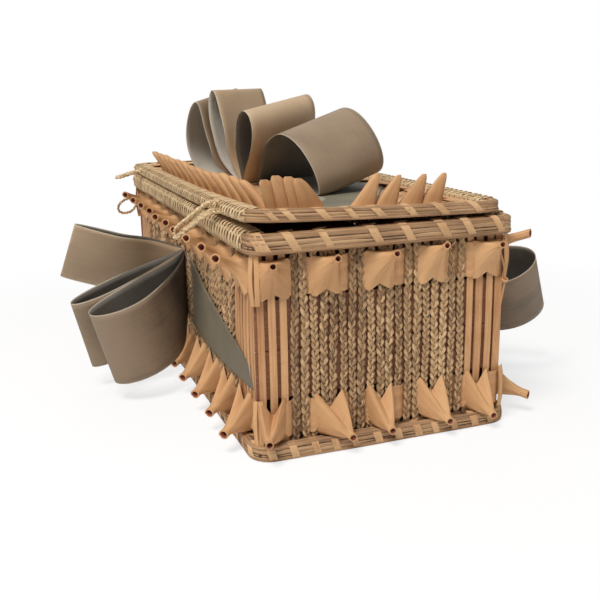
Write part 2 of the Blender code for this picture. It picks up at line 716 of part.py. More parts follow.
LEFT_LOOPS = (
    RibbonLoop("left_bow_loop_near", -1.0, 0.0, (-1.23, -0.99, -0.53), (0.25, 0.17, -0.95),
               0.62, 0.19, 0.96),
    RibbonLoop("left_bow_loop_middle", 0.0, 0.0, (-1.444, -0.458, -0.488), (0.23, 0.29, -0.93),
               0.26, 0.05, 0.6),
    RibbonLoop("left_bow_loop_upper", 1.0, 0.0, (-1.474, 0.154, 0.48), (-0.13, 0.59, -0.79),
               0.1, 0.0, 0.66),
)
RIGHT_LOOPS = (
    RibbonLoop("right_bow_loop_near", -1.0, 0.0, (1.302, -1.49, -0.02), (0.53, 0.37, -0.76),
               0.72, -0.2, 0.97),
    RibbonLoop("right_bow_loop_far", 1.0, 0.0, (1.24, 0.96, -0.48), (-0.2, 0.1, -0.95),
               0.52, 0.0, 0.8),
)
TOP_LOOPS = (
    RibbonLoop("top_bow_loop_1", 2.2, -0.04, (-0.686, 0.53, 1.122), (0.77, 0.62, 0.13),
               0.44, 0.42, 0.74),
    RibbonLoop("top_bow_loop_2", 0.7, -0.16, (-0.3, 0.454, 1.204), (0.85, 0.53, -0.03),
               0.2, 0.14, 0.5),
    RibbonLoop("top_bow_loop_3", -0.5, -0.16, (-0.06, -0.498, 1.03), (0.95, 0.26, 0.18),
               0.4, 0.02, 0.8),
    RibbonLoop("top_bow_loop_4", -2.4, 0.0, (0.232, -1.536, 0.414), (0.94, 0.17, 0.29),
               0.88, 0.104, 0.95),
)


def smooth_share(x):
    """Ease a share between 0 and 1."""
    x = max(0.0, min(1.0, x))
    return x * x * (3.0 - 2.0 * x)


def loop_rows(loop, root, root_across):
    """Share of the reach and the two edge points at each step round the loop."""
    along = Vector(loop.reach).normalized()
    across = Vector(loop.across)
    across = (across - along * across.dot(along)).normalized()
    normal = along.cross(across)
    rows = []
    for k in range(2 * RIBBON_STEPS + 1):
        angle = math.pi * k / RIBBON_STEPS
        share = (1.0 - math.cos(angle)) / 2
        swell = math.sin(angle) * share ** loop.pinch * SWELL_SHARE
        bow = 4.0 * loop.arch * share * (1.0 - share)
        lift = RIBBON_LEG * math.cos(angle / 2) + RIBBON_WIDTH * (loop.fullness / 2 * swell + bow)
        blend = smooth_share(share * BLEND_SHARE)
        width = RIBBON_ROOT_WIDTH + (RIBBON_WIDTH - RIBBON_ROOT_WIDTH) * blend
        wide = root_across.lerp(across, blend).normalized() * width / 2
        middle = root + Vector(loop.reach) * (RIBBON_WIDTH * share) + normal * lift
        rows.append((share, middle - wide, middle + wide))
    return rows


def ribbon_strip(name, rows, material):
    """Solid ribbon through rows of two edge points."""
    bm = bmesh.new()
    pairs = [(bm.verts.new(a), bm.verts.new(b)) for a, b in rows]
    faces = [bm.faces.new((a[0], b[0], b[1], a[1])) for a, b in zip(pairs, pairs[1:])]
    bm.normal_update()
    bmesh.ops.solidify(bm, geom=faces, thickness=-RIBBON_DEPTH)
    return finish_mesh(name, bm, material)


def build_wall_bow(loops, side, middle, material):
    """Loops that stand out from a long wall, their roots side by side."""
    root_z = (BOTTOM_BAND_HIGH + TOP_BAND_LOW) / 2 + WALL_ROOT_RISE
    for loop in loops:
        root = Vector((side * (HALF_WIDTH + RIBBON_STAND), middle + loop.step * ROOT_STEP, root_z))
        rows = loop_rows(loop, root, Vector((0.0, 0.0, -1.0)))
        ribbon_strip(loop.name, [(a, b) for _, a, b in rows], material)


def build_wall_tail(name, side, start, way, material):
    """End of a wall bow's ribbon, run along the wall and tucked in by its corner."""
    rows = []
    top = TOP_BAND_LOW - CLEARANCE
    for k in range(TAIL_STEPS + 1):
        share = k / TAIL_STEPS
        high = top + (WALL_TAIL_RISE + WALL_TAIL_END - top) * share
        bulge = WALL_TAIL_BULGE * math.sin(math.pi * share)
        x = side * (HALF_WIDTH + CLEARANCE + RIBBON_DEPTH + bulge)
        y = start + way * WALL_TAIL_LENGTH * share
        rows.append((Vector((x, y, WALL_TAIL_RISE)), Vector((x, y, high))))
    return ribbon_strip(name, rows, material)


def build_left_bow(material):
    build_wall_bow(LEFT_LOOPS, -1.0, 0.0, material)
    build_wall_tail("left_bow_tail", -1.0, -TAIL_START, -1.0, material)


def build_right_bow(material):
    middle = -RIGHT_ROOT_FORWARD
    build_wall_bow(RIGHT_LOOPS, 1.0, middle, material)
    build_wall_tail("right_bow_tail", 1.0, middle + TAIL_START, 1.0, material)


def raised(point, floor):
    """The point, lifted to the floor if it is below it."""
    return Vector((point.x, point.y, max(point.z, floor)))


def lid_spot(shares):
    """Point on the lid's mat at shares of the clear space between the rows of points."""
    return Vector((shares[0] * (LID_ROW_X - LID_POINT_STRIP) - LID_SET_LEFT,
                   shares[1] * (LID_ROW_Y - LID_POINT_STRIP), TAIL_FLOOR))


def build_top_bow(material):
    """Loops that stand up from the lid, the lowest resting on its own tail."""
    for loop in TOP_LOOPS:
        root = Vector((loop.side * RIBBON_WIDTH, loop.step * ROOT_STEP, LEG_FLOOR + RIBBON_LEG))
        rows = []
        for share, a, b in loop_rows(loop, root, Vector((1.0, 0.0, 0.0))):
            floor = LOOP_FLOOR if share > ROOT_SHARE else LEG_FLOOR
            rows.append((raised(a, floor), raised(b, floor)))
        ribbon_strip(loop.name, rows, material)
    for name, left, right in (("top_bow_tail_near", NEAR_TAIL_LEFT, NEAR_TAIL_RIGHT),
                              ("top_bow_tail_far", FAR_TAIL_RIGHT, FAR_TAIL_LEFT)):
        ribbon_strip(name, [(lid_spot(a), lid_spot(b)) for a, b in zip(left, right)], material)


def tube(name, points, radius, closed, material):
    """Round cord through points, closed into a ring or capped at both ends."""
    bm = bmesh.new()
    rings = []
    side = Vector((0.0, 0.0, 1.0))
    count = len(points)
    for i, place in enumerate(points):
        before = points[i - 1] if i or closed else place
        after = points[(i + 1) % count] if i + 1 < count or closed else place
        along = (after - before).normalized()
        side = (side - along * side.dot(along)).normalized()
        other = along.cross(side)
        turns = [2 * math.pi * k / CORD_SIDES for k in range(CORD_SIDES)]
        rings.append([bm.verts.new(place + (side * math.cos(t) + other * math.sin(t)) * radius)
                      for t in turns])
    pairs = list(zip(rings, rings[1:]))
    if closed:
        pairs.append((rings[-1], rings[0]))
    else:
        bm.faces.new(rings[0])
        bm.faces.new(rings[-1])
    for a, b in pairs:
        for k in range(CORD_SIDES):
            n = (k + 1) % CORD_SIDES
            bm.faces.new((a[k], a[n], b[n], b[k]))
    return finish_mesh(name, bm, material)


def smooth_route(knots):
    """Catmull-Rom points through the knots."""
    padded = [knots[0] * 2 - knots[1]] + list(knots) + [knots[-1] * 2 - knots[-2]]
    route = []
    for a, b, c, d in zip(padded, padded[1:], padded[2:], padded[3:]):
        for k in range(ROUTE_STEPS):
            t = k / ROUTE_STEPS
            route.append((b * 2 + (c - a) * t + (a * 2 - b * 5 + c * 4 - d) * t * t
                          + (b * 3 - a - c * 3 + d) * t ** 3) / 2)
    route.append(knots[-1].copy())
    return route


def hairpin(leg, turn):
    """Route down one leg, round the turn and back up the other leg."""
    half = Vector((0.0, STRAND_SPACE / 2, 0.0))
    return smooth_route([p - half for p in leg] + [turn] + [p + half for p in reversed(leg)])


def build_near_hinge_loop(material):
    """Braid out of the lid rim, down and back under the body rim."""
    off = CORD_RADIUS + CLEARANCE
    rim_edge = -HALF_WIDTH - RIM_REACH - LASH_DEPTH - CLEARANCE
    tuck_z = RIM_BOTTOM - LASH_DEPTH - CLEARANCE - off
    tuck_x = -HALF_WIDTH - CLEARANCE - BAND_DEPTH - off
    y_low = NEAR_LOOP_UPRIGHTS * upright_pitch(SIDE_UPRIGHTS, SIDE_RUN_HALF) - SIDE_RUN_HALF
    y_top = y_low - NEAR_LOOP_SLANT
    leg = [Vector((LID_EDGE_X - 2 * CLEARANCE, y_top, (LID_BOTTOM + LID_TOP) / 2)),
           Vector((LID_EDGE_X - 3 * CORD_RADIUS, y_top, (LID_BOTTOM + LID_TOP) / 2)),
           Vector((rim_edge - NEAR_LOOP_OUT / 2, (y_top + y_low) / 2, BODY_HEIGHT)),
           Vector((rim_edge - NEAR_LOOP_OUT, y_low, RIM_BOTTOM - NEAR_LOOP_DROP)),
           Vector((tuck_x - 2 * CORD_RADIUS, y_low, tuck_z - CORD_RADIUS))]
    route = hairpin(leg, Vector((tuck_x, y_low, tuck_z)))
    return tube("hinge_loop_near", route, CORD_RADIUS, False, material)


def build_far_hinge_loop(material):
    """Braid loop that stands out from the lid rim."""
    start_x = LID_EDGE_X - 2 * CLEARANCE
    y = HALF_LENGTH - FAR_LOOP_INSET
    z = (LID_BOTTOM + LID_TOP) / 2
    leg = [Vector((start_x, y, z)),
           Vector((start_x - FAR_LOOP_OUT / 2, y, z - FAR_LOOP_DROP / 2)),
           Vector((start_x - FAR_LOOP_OUT + CORD_RADIUS, y, z - FAR_LOOP_DROP))]
    route = hairpin(leg, Vector((start_x - FAR_LOOP_OUT, y, z - FAR_LOOP_DROP)))
    return tube("hinge_loop_far", route, CORD_RADIUS, False, material)


def build_hinge_ring(material):
    """Ring of braid on the body by the far corner."""
    middle_x = -BACK_X - SPLINT_DEPTH - CLEARANCE - RING_RADIUS - RING_CORD_RADIUS
    middle_y = HALF_LENGTH - RING_INSET
    turns = [2 * math.pi * k / RING_STEPS for k in range(RING_STEPS)]
    points = [Vector((middle_x + RING_RADIUS * math.cos(t), middle_y + RING_RADIUS * math.sin(t),
                      RIM_BOTTOM - RING_DROP)) for t in turns]
    return tube("hinge_ring_far", points, RING_CORD_RADIUS, True, material)


def hang_lid():
    """Parent the lid's pieces and their cutters to an empty on the hinge line."""
    hinge = bpy.data.objects.new("lid_hinge", None)
    hinge.location = (HINGE_X, 0.0, HINGE_Z)
    bpy.context.scene.collection.objects.link(hinge)
    for piece in list(bpy.data.objects):
        if piece is not hinge and piece.name.startswith(LID_PIECE_STARTS):
            piece.parent = hinge
            piece.matrix_parent_inverse = Matrix.Translation(-hinge.location)


def main():
    clear_scene()
    ash = ash_material()
    braid = braid_material()
    lash = lash_material()
    ribbon = ribbon_material()
    build_base_mat(ash)
    build_base_hoop(braid)
    build_walls(braid)
    build_band("bottom_band", BOTTOM_BAND_LOW, -BOTTOM_POINT_DROP, ash)
    build_band("top_band", TOP_BAND_LOW, TOP_POINT_RISE, ash)
    build_body_rim(braid)
    build_body_rim_inner(ash)
    build_body_lashing(lash)
    build_lid_mat(ash)
    build_lid_rim(braid)
    build_lid_top_hoop(braid)
    build_lid_lashing(lash)
    build_lid_rows(ash)
    build_near_hinge_loop(braid)
    build_far_hinge_loop(braid)
    build_hinge_ring(braid)
    build_left_bow(ribbon)
    build_right_bow(ribbon)
    build_top_bow(ribbon)
    hang_lid()


main()
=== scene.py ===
"""Looks of the lidded ash splint basket: weave, braids, curled points, rims and ribbon bows.

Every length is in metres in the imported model's frame: X across the short ends, Y along the
long sides with the near end at -Y, Z up, the table at z = 0.
"""

import logging
import math
from dataclasses import dataclass, field
from enum import Enum
from typing import Callable, Sequence

import bmesh
import bpy
from mathutils import Matrix, Vector


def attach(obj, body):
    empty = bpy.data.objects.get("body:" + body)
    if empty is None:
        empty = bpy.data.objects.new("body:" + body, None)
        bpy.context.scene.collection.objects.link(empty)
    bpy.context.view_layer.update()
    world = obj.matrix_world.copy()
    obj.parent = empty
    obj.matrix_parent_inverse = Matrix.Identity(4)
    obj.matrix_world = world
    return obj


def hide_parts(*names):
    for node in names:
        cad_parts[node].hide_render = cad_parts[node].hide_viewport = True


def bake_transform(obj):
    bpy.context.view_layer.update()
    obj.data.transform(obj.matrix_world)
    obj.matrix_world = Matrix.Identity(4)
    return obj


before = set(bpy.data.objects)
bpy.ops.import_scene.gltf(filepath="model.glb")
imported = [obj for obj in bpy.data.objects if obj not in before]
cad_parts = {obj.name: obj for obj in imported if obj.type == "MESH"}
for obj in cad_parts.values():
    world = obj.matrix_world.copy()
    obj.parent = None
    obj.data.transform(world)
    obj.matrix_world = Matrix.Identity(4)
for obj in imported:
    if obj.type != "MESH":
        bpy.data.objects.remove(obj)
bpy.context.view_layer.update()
LOG = logging.getLogger("basket")

MM = 0.001
TURN = 2 * math.pi
UP = Vector((0.0, 0.0, 1.0))
HALF_WIDTH = 70 * MM
HALF_LENGTH = 161 * MM
BRAID_DEPTH = 2.2 * MM
BACK_X = HALF_WIDTH - BRAID_DEPTH
BACK_Y = HALF_LENGTH - BRAID_DEPTH
END_HALF = 71.8 * MM
SIDE_HALF = 159.4 * MM
WALL_FOOT = 2.3 * MM
WALL_TOP = 115.3 * MM
LID_SHIFT = -2.5 * MM
PathMap = Callable[[float, float, float], Vector]


def ease(share: float) -> float:
    """Smooth step of a share between 0 and 1."""
    share = max(0.0, min(1.0, share))
    return share * share * (3 - 2 * share)


def vary(seed: float, low: float = -1.0, high: float = 1.0) -> float:
    """A steady scattered value for a seed, the same on every run.

    Args:
        seed: any number that names the piece.
        low: lowest value.
        high: highest value.

    Returns:
        A value between low and high.
    """
    share = math.sin(seed * 12.9898 + 4.1414) * 43758.5453
    return low + (high - low) * (share - math.floor(share))


def lid_warp(point: Vector) -> Vector:
    """Lift the lid's near left corner, which stands off the body in the photograph."""
    near = max(0.0, min(1.0, -point.y / (165 * MM)))
    left = max(0.0, min(1.0, (HALF_WIDTH - point.x) / (2 * HALF_WIDTH)))
    return point + UP * (4.0 * MM * near ** 2 * left ** 1.5)


class Wire:
    """A shader socket that takes part in Python expressions."""

    def __init__(self, board: "Board", socket: bpy.types.NodeSocket) -> None:
        """Hold a socket of a board."""
        self.board = board
        self.socket = socket

    def __add__(self, other: "Wire | float") -> "Wire":
        """Sum with another value."""
        return self.board.maths('ADD', self, other)

    __radd__ = __add__

    def __sub__(self, other: "Wire | float") -> "Wire":
        """This value less another."""
        return self.board.maths('SUBTRACT', self, other)

    def __rsub__(self, other: float) -> "Wire":
        """A number less this value."""
        return self.board.maths('SUBTRACT', other, self)

    def __mul__(self, other: "Wire | float") -> "Wire":
        """Product with another value."""
        return self.board.maths('MULTIPLY', self, other)

    __rmul__ = __mul__

    def __pow__(self, other: float) -> "Wire":
        """This value raised to a power."""
        return self.board.maths('POWER', self, other)


class Board:
    """The node tree of one material, grown through one node-making method."""

    def __init__(self, name: str) -> None:
        """Start a material with its Principled shader."""
        self.material = bpy.data.materials.new(name)
        self.material.use_nodes = True
        self.tree = self.material.node_tree
        self.shader = self.tree.nodes["Principled BSDF"]

    def feed(self, socket: bpy.types.NodeSocket, value: object) -> None:
        """Give a socket a link or a constant.

        Args:
            socket: the input socket.
            value: a Wire, a socket, a number, or a tuple for a colour or vector.
        """
        if isinstance(value, Wire):
            self.tree.links.new(value.socket, socket)
        elif isinstance(value, bpy.types.NodeSocket):
            self.tree.links.new(value, socket)
        elif isinstance(value, tuple) and socket.type == 'RGBA':
            socket.default_value = (*value[:3], 1.0)
        else:
            socket.default_value = value

    def node(self, kind: str, settings: dict, inputs: dict) -> bpy.types.Node:
        """Make one node.

        Args:
            kind: the node's type.
            settings: its own settings, with "stops" for a ramp's stops.
            inputs: values or links of its sockets, by name or number.

        Returns:
            The node.
        """
        made = self.tree.nodes.new(kind)
        for key, value in settings.items():
            if key == "stops":
                stops = made.color_ramp.elements
                while len(stops) < len(value):
                    stops.new(1.0)
                for stop, (place, color) in zip(stops, value):
                    stop.position = place
                    stop.color = (*color, 1.0)
            else:
                setattr(made, key, value)
        for key, value in inputs.items():
            self.feed(made.inputs[key], value)
        return made

    def maths(self, operation: str, a: object, b: object) -> Wire:
        """One Math node, clamped to nothing."""
        made = self.node('ShaderNodeMath', {"operation": operation}, {0: a, 1: b})
        return Wire(self, made.outputs[0])

    def attribute(self, name: str, output: str) -> Wire:
        """Read an attribute of the mesh."""
        made = self.node('ShaderNodeAttribute', {"attribute_name": name}, {})
        return Wire(self, made.outputs[output])

    def stretched(self, vector: Wire, scale: tuple[float, float, float]) -> Wire:
        """Scale a vector per axis."""
        made = self.node('ShaderNodeVectorMath', {"operation": 'MULTIPLY'}, {0: vector, 1: scale})
        return Wire(self, made.outputs[0])

    def place(self) -> Wire:
        """Object coordinates."""
        return Wire(self, self.node('ShaderNodeTexCoord', {}, {}).outputs["Object"])

    def noise(self, vector: Wire, scale: float, detail: float = 3.0) -> Wire:
        """Noise between 0 and 1.

        Args:
            vector: where it is read.
            scale: its scale.
            detail: its octaves.

        Returns:
            The noise value.
        """
        made = self.node('ShaderNodeTexNoise', {}, {"Vector": vector, "Scale": scale, "Detail": detail})
        return Wire(self, made.outputs[0])

    def ranged(self, value: Wire, low: float, high: float) -> Wire:
        """Spread low..high of a value over 0..1, clamped."""
        made = self.node('ShaderNodeMapRange', {"clamp": True},
                         {"Value": value, "From Min": low, "From Max": high})
        return Wire(self, made.outputs[0])

    def mix(self, a: object, b: object, share: object) -> Wire:
        """Blend two colours."""
        made = self.node('ShaderNodeMix', {"data_type": 'RGBA'}, {0: share, 6: a, 7: b})
        return Wire(self, made.outputs[2])

    def ramp(self, value: Wire, stops: Sequence[tuple[float, tuple]]) -> Wire:
        """Colour ramp over a value."""
        made = self.node('ShaderNodeValToRGB', {"stops": stops}, {0: value})
        return Wire(self, made.outputs[0])

    def finish(self, color: Wire, roughness: Wire, height: Wire, relief: float,
               **constants: float) -> bpy.types.Material:
        """Join the shader's inputs.

        Args:
            color: base colour.
            roughness: roughness.
            height: height between 0 and 1 for the bump.
            relief: depth of the bump in metres.
            constants: other sockets, with _ for a space.

        Returns:
            The material.
        """
        bump = self.node('ShaderNodeBump', {}, {"Height": height, "Distance": relief, "Strength": 1.0})
        self.feed(self.shader.inputs["Base Color"], color)
        self.feed(self.shader.inputs["Roughness"], roughness)
        self.feed(self.shader.inputs["Normal"], bump.outputs[0])
        for name, value in constants.items():
            self.shader.inputs[name.replace("_", " ")].default_value = value
        return self.material


@dataclass(frozen=True)
class SplintFinish:
    """Aged ash splint: long grain, growth lines, handling marks."""
    name: str
    light: tuple
    middle: tuple
    dark: tuple
    gloss: float = 0.52
    relief: float = 0.10 * MM
    coarse: float = 900.0

    def make(self) -> bpy.types.Material:
        """Build the material from the flow along the splint."""
        board = Board(self.name)
        flow = board.attribute("flow", "Vector")
        tone = board.attribute("tone", "Fac")
        grain = board.noise(board.stretched(flow, (22.0, self.coarse, self.coarse)), 1.0, 4.0)
        fine = board.noise(board.stretched(flow, (70.0, self.coarse * 4.5, self.coarse * 4.5)), 1.0, 2.0)
        patch = board.noise(board.place(), 55.0, 2.0)
        mark = board.ranged(board.noise(board.place(), 420.0, 2.0), 0.66, 0.78)
        mixed = grain * 0.55 + fine * 0.2 + patch * 0.25 + (tone - 0.5) * 0.45
        color = board.ramp(mixed, ((0.28, self.dark), (0.47, self.middle), (0.66, self.light)))
        color = board.mix(color, self.dark, mark * 0.45)
        rough = self.gloss + grain * 0.22
        return board.finish(color, rough, grain * 0.6 + fine * 0.4, self.relief, Specular_IOR_Level=0.38)


@dataclass(frozen=True)
class GrassFinish:
    """Dry sweetgrass: many straws side by side, pale ridges and dark creases. The colour follows the bump's
    own noise, so the dark creases are painted shade over the straws' own colour differences.
    """
    name: str
    light: tuple
    middle: tuple
    dark: tuple
    relief: float = 0.22 * MM

    def make(self) -> bpy.types.Material:
        """Build the material from the flow along the strand."""
        board = Board(self.name)
        flow = board.attribute("flow", "Vector")
        tone = board.attribute("tone", "Fac")
        straws = board.noise(board.stretched(flow, (55.0, 2300.0, 2300.0)), 1.0, 3.0)
        fibre = board.noise(board.stretched(flow, (160.0, 6500.0, 6500.0)), 1.0, 2.0)
        patch = board.noise(board.place(), 48.0, 2.0)
        mixed = straws * 0.6 + fibre * 0.2 + patch * 0.2 + (tone - 0.5) * 0.4
        color = board.ramp(mixed, ((0.32, self.dark), (0.48, self.middle), (0.63, self.light)))
        return board.finish(color, 0.68 + fibre * 0.2, straws, self.relief, Specular_IOR_Level=0.3)


@dataclass(frozen=True)
class RibbonFinish:
    """Faded satin ribbon: fine cross ribs, long streaks, worn folds and a woven edge."""
    name: str
    light: tuple
    dark: tuple
    edge: tuple
    rib: float = 0.55 * MM

    def make(self) -> bpy.types.Material:
        """Build the material from the flow along and across the ribbon."""
        board = Board(self.name)
        flow = board.attribute("flow", "Vector")
        part = board.node('ShaderNodeSeparateXYZ', {}, {0: flow})
        along, across = Wire(board, part.outputs[0]), Wire(board, part.outputs[1])
        ribs = board.maths('SINE', along * (TURN / self.rib), 0.0) * 0.5 + 0.5
        streak = board.noise(board.stretched(flow, (9.0, 420.0, 10.0)), 1.0, 3.0)
        thread = board.noise(board.stretched(flow, (900.0, 3400.0, 10.0)), 1.0, 2.0)
        worn = board.noise(board.place(), 24.0, 4.0)
        rim = board.ranged(board.maths('ABSOLUTE', across, 0.0), 24.1 * MM, 24.6 * MM)
        tone = board.attribute("tone", "Fac")
        # The tone here carries painted shade. ribbon_piece sets it darker at a loop's root and lighter at its
        # tip, and the colour follows it.
        mixed = streak * 0.14 + worn * 0.66 + thread * 0.2 + (tone - 0.5) * 0.55
        color = board.ramp(mixed, ((0.36, self.dark), (0.64, self.light)))
        color = board.mix(color, self.edge, rim * 0.8)
        rough = 0.46 + worn * 0.16 + thread * 0.08
        height = ribs * 0.35 + thread * 0.4 + streak * 0.25
        return board.finish(color, rough, height, 0.05 * MM, Specular_IOR_Level=0.3)


class Shade(Enum):
    """Name, worn colour, deep colour and edge colour of each ribbon colour. Taupe, dim and green are the
    ribbon's own colours. The lighter khaki and grey members are lit copies that carry painted light. The
    darker brown and olive members are shaded copies that carry painted shade.
    """
    TAUPE = ("taupe_ribbon", (0.35, 0.255, 0.17), (0.235, 0.17, 0.112), (0.50, 0.43, 0.32))
    KHAKI = ("khaki_ribbon", (0.52, 0.375, 0.24), (0.38, 0.27, 0.17), (0.60, 0.50, 0.36))
    BROWN = ("brown_ribbon", (0.27, 0.195, 0.13), (0.075, 0.058, 0.045), (0.42, 0.36, 0.26))
    DIM = ("dim_ribbon", (0.20, 0.183, 0.153), (0.11, 0.10, 0.085), (0.45, 0.40, 0.31))
    GREY = ("grey_ribbon", (0.55, 0.51, 0.44), (0.40, 0.365, 0.31), (0.56, 0.51, 0.42))
    GREEN = ("green_grey_ribbon", (0.25, 0.225, 0.163), (0.16, 0.145, 0.105), (0.38, 0.35, 0.27))
    OLIVE = ("olive_ribbon", (0.20, 0.168, 0.115), (0.13, 0.108, 0.075), (0.28, 0.25, 0.18))


@dataclass(frozen=True)
class CoreFinish:
    """The packing of a bundle, seen only between its strands, coloured near black: the packing's colour
    darkened with painted shade in the gaps between the strands.
    """
    name: str
    light: tuple
    dark: tuple

    def make(self) -> bpy.types.Material:
        """Build the material on object coordinates."""
        board = Board(self.name)
        place = board.place()
        straws = board.noise(board.stretched(place, (260.0, 260.0, 2600.0)), 1.0, 3.0)
        blot = board.noise(place, 90.0, 3.0)
        color = board.ramp(straws * 0.7 + blot * 0.3, ((0.4, self.dark), (0.62, self.light)))
        return board.finish(color, 0.75 + blot * 0.15, straws, 0.25 * MM, Specular_IOR_Level=0.25)


class Finishes:
    """Every finish of the basket, made once."""

    def __init__(self) -> None:
        """Make the materials."""
        self.ash = SplintFinish("ash", (0.62, 0.355, 0.165), (0.54, 0.29, 0.13), (0.40, 0.195, 0.085),
                                0.5, 0.05 * MM, 300.0).make()
        self.flat = SplintFinish("flat_ash", (0.64, 0.36, 0.17), (0.51, 0.26, 0.115),
                                 (0.31, 0.14, 0.062)).make()
        # The lining is coloured darker than the lit splint so the gaps between the braids read dark: partly
        # the lining's aged red-brown, partly painted shade.
        self.lining = SplintFinish("lining_ash", (0.33, 0.14, 0.072), (0.23, 0.09, 0.045),
                                   (0.12, 0.045, 0.026)).make()
        # The curls' hollow tips are coloured a deep dark red: partly the splint's inner colour, partly painted
        # shade in the hole.
        self.curl_inside = SplintFinish("curl_inside", (0.30, 0.08, 0.05), (0.21, 0.055, 0.035),
                                        (0.10, 0.028, 0.02)).make()
        self.grass = GrassFinish("sweetgrass", (0.62, 0.42, 0.23), (0.40, 0.245, 0.125),
                                 (0.12, 0.065, 0.035)).make()
        self.pale_grass = GrassFinish("pale_sweetgrass", (0.78, 0.60, 0.37), (0.60, 0.43, 0.24),
                                      (0.22, 0.135, 0.07)).make()
        self.rim_splint = SplintFinish("rim_splint", (0.54, 0.35, 0.19), (0.37, 0.21, 0.105),
                                       (0.13, 0.068, 0.036), 0.6, 0.3 * MM, 1500.0).make()
        self.lash = SplintFinish("lashing_ash", (0.66, 0.42, 0.22), (0.53, 0.31, 0.15),
                                 (0.33, 0.17, 0.08)).make()
        self.core = CoreFinish("bundle_core", (0.20, 0.115, 0.06), (0.05, 0.028, 0.016)).make()
        self.ribbon = {shade: RibbonFinish(*shade.value).make() for shade in Shade}


class Route:
    """A path with a frame at every step, read by the length along it."""

    def __init__(self, points: Sequence[Vector], spacing: float, closed: bool = False,
                 soften: int = 0, up: Vector = UP) -> None:
        """Space the path evenly and carry a frame along it.

        Args:
            points: the corners of the path.
            spacing: about how far apart its steps are.
            closed: whether it returns to its start.
            soften: how many times its steps are averaged with their neighbours.
            up: the frame's first upward direction.
        """
        self.closed = closed
        self.points = self.even(list(points), spacing)
        for _ in range(soften):
            self.points = [self.blended(i) for i in range(len(self.points))]
        count = len(self.points)
        spans = [(self.points[(i + 1) % count] - self.points[i]).length
                 for i in range(count if closed else count - 1)]
        self.step = sum(spans) / len(spans)
        self.length = sum(spans)
        self.frames: list[tuple[Vector, Vector, Vector]] = []
        carried = up
        for i in range(count):
            before = self.points[i - 1] if i or closed else self.points[i]
            after = self.points[(i + 1) % count] if i + 1 < count or closed else self.points[i]
            along = (after - before).normalized()
            carried = (carried - along * carried.dot(along)).normalized()
            self.frames.append((along, along.cross(carried), carried))

    def even(self, points: list[Vector], spacing: float) -> list[Vector]:
        """Evenly spaced points on the path."""
        if self.closed:
            points = points + [points[0]]
        spans = [(b - a).length for a, b in zip(points, points[1:])]
        total = sum(spans)
        count = max(2, round(total / spacing))
        made, index, passed = [], 0, 0.0
        for k in range(count if self.closed else count + 1):
            target = total * k / count
            while index < len(spans) - 1 and passed + spans[index] < target:
                passed += spans[index]
                index += 1
            share = (target - passed) / spans[index] if spans[index] else 0.0
            made.append(points[index].lerp(points[index + 1], min(1.0, share)))
        return made

    def blended(self, i: int) -> Vector:
        """A point averaged with its neighbours."""
        last = len(self.points) - 1
        if not self.closed and i in (0, last):
            return self.points[i]
        after = self.points[(i + 1) % (last + 1)]
        return (self.points[i - 1] + self.points[i] * 2 + after) / 4

    def at(self, distance: float, out: float, up: float) -> Vector:
        """A point beside the path.

        Args:
            distance: length along the path.
            out: how far to the path's right, which is outwards on a loop.
            up: how far along its upward direction.

        Returns:
            The point.
        """
        count = len(self.points)
        place = distance / self.step
        index = math.floor(place)
        share = place - index
        if self.closed:
            a, b = index % count, (index + 1) % count
        else:
            index = max(0, min(count - 2, index))
            share = min(1.0, max(0.0, place - index))
            a, b = index, index + 1
        side = self.frames[a][1].lerp(self.frames[b][1], share)
        rise = self.frames[a][2].lerp(self.frames[b][2], share)
        return self.points[a].lerp(self.points[b], share) + side * out + rise * up

    def nearest(self, point: Vector) -> float:
        """Length along the path of its step nearest to a point."""
        index = min(range(len(self.points)), key=lambda i: (self.points[i] - point).length_squared)
        return index * self.step


class Blank(Enum):
    """The straight blanks that every swept piece is bent from."""
    ROUND = "round"
    FLAT = "flat"
    CURL = "curl"


class Blanks:
    """Straight unit tubes and strips, made once and copied."""

    def __init__(self) -> None:
        """Start with none."""
        self.kept: dict[tuple, bpy.types.Mesh] = {}

    def get(self, blank: Blank, sides: int, steps: int, open_ends: bool = False) -> bpy.types.Mesh:
        """A unit blank along z.

        Args:
            blank: round, flat, or a tube with a hollow tip.
            sides: sides of its section.
            steps: steps along it.
            open_ends: whether its two caps are left out.

        Returns:
            The mesh, with x and y in -1..1 and z in 0..1.
        """
        key = (blank, sides, steps, open_ends)
        if key not in self.kept:
            bm = bmesh.new()
            if blank is Blank.FLAT:
                bmesh.ops.create_grid(bm, x_segments=sides, y_segments=1, size=1.0)
            else:
                bmesh.ops.create_circle(bm, cap_ends=True, segments=sides, radius=1.0)
            bmesh.ops.spin(bm, geom=bm.verts[:] + bm.edges[:] + bm.faces[:], cent=(0, 0, 0),
                           axis=(0, 0, 1), dvec=(0, 0, 1 / steps), angle=0.0, steps=steps)
            if blank is Blank.CURL:
                tip = max(bm.faces, key=lambda f: f.calc_center_median().z)
                bmesh.ops.inset_individual(bm, faces=[tip], thickness=0.3, use_even_offset=True)
                hole = bmesh.ops.extrude_discrete_faces(bm, faces=[tip])["faces"][0]
                bmesh.ops.translate(bm, verts=hole.verts, vec=(0, 0, -0.2))
                hole.material_index = 1
                for edge in hole.edges:
                    for side in edge.link_faces:
                        side.material_index = 1
            for face in bm.faces:
                face.smooth = True
            bmesh.ops.recalc_face_normals(bm, faces=bm.faces)
            if open_ends:
                caps = [f for f in bm.faces if abs(f.normal.z) > 0.9]
                bmesh.ops.delete(bm, geom=caps, context='FACES_ONLY')
            mesh = bpy.data.meshes.new(f"blank_{blank.value}_{sides}_{steps}")
            bm.to_mesh(mesh)
            bm.free()
            self.kept[key] = mesh
        return self.kept[key]


BLANKS = Blanks()


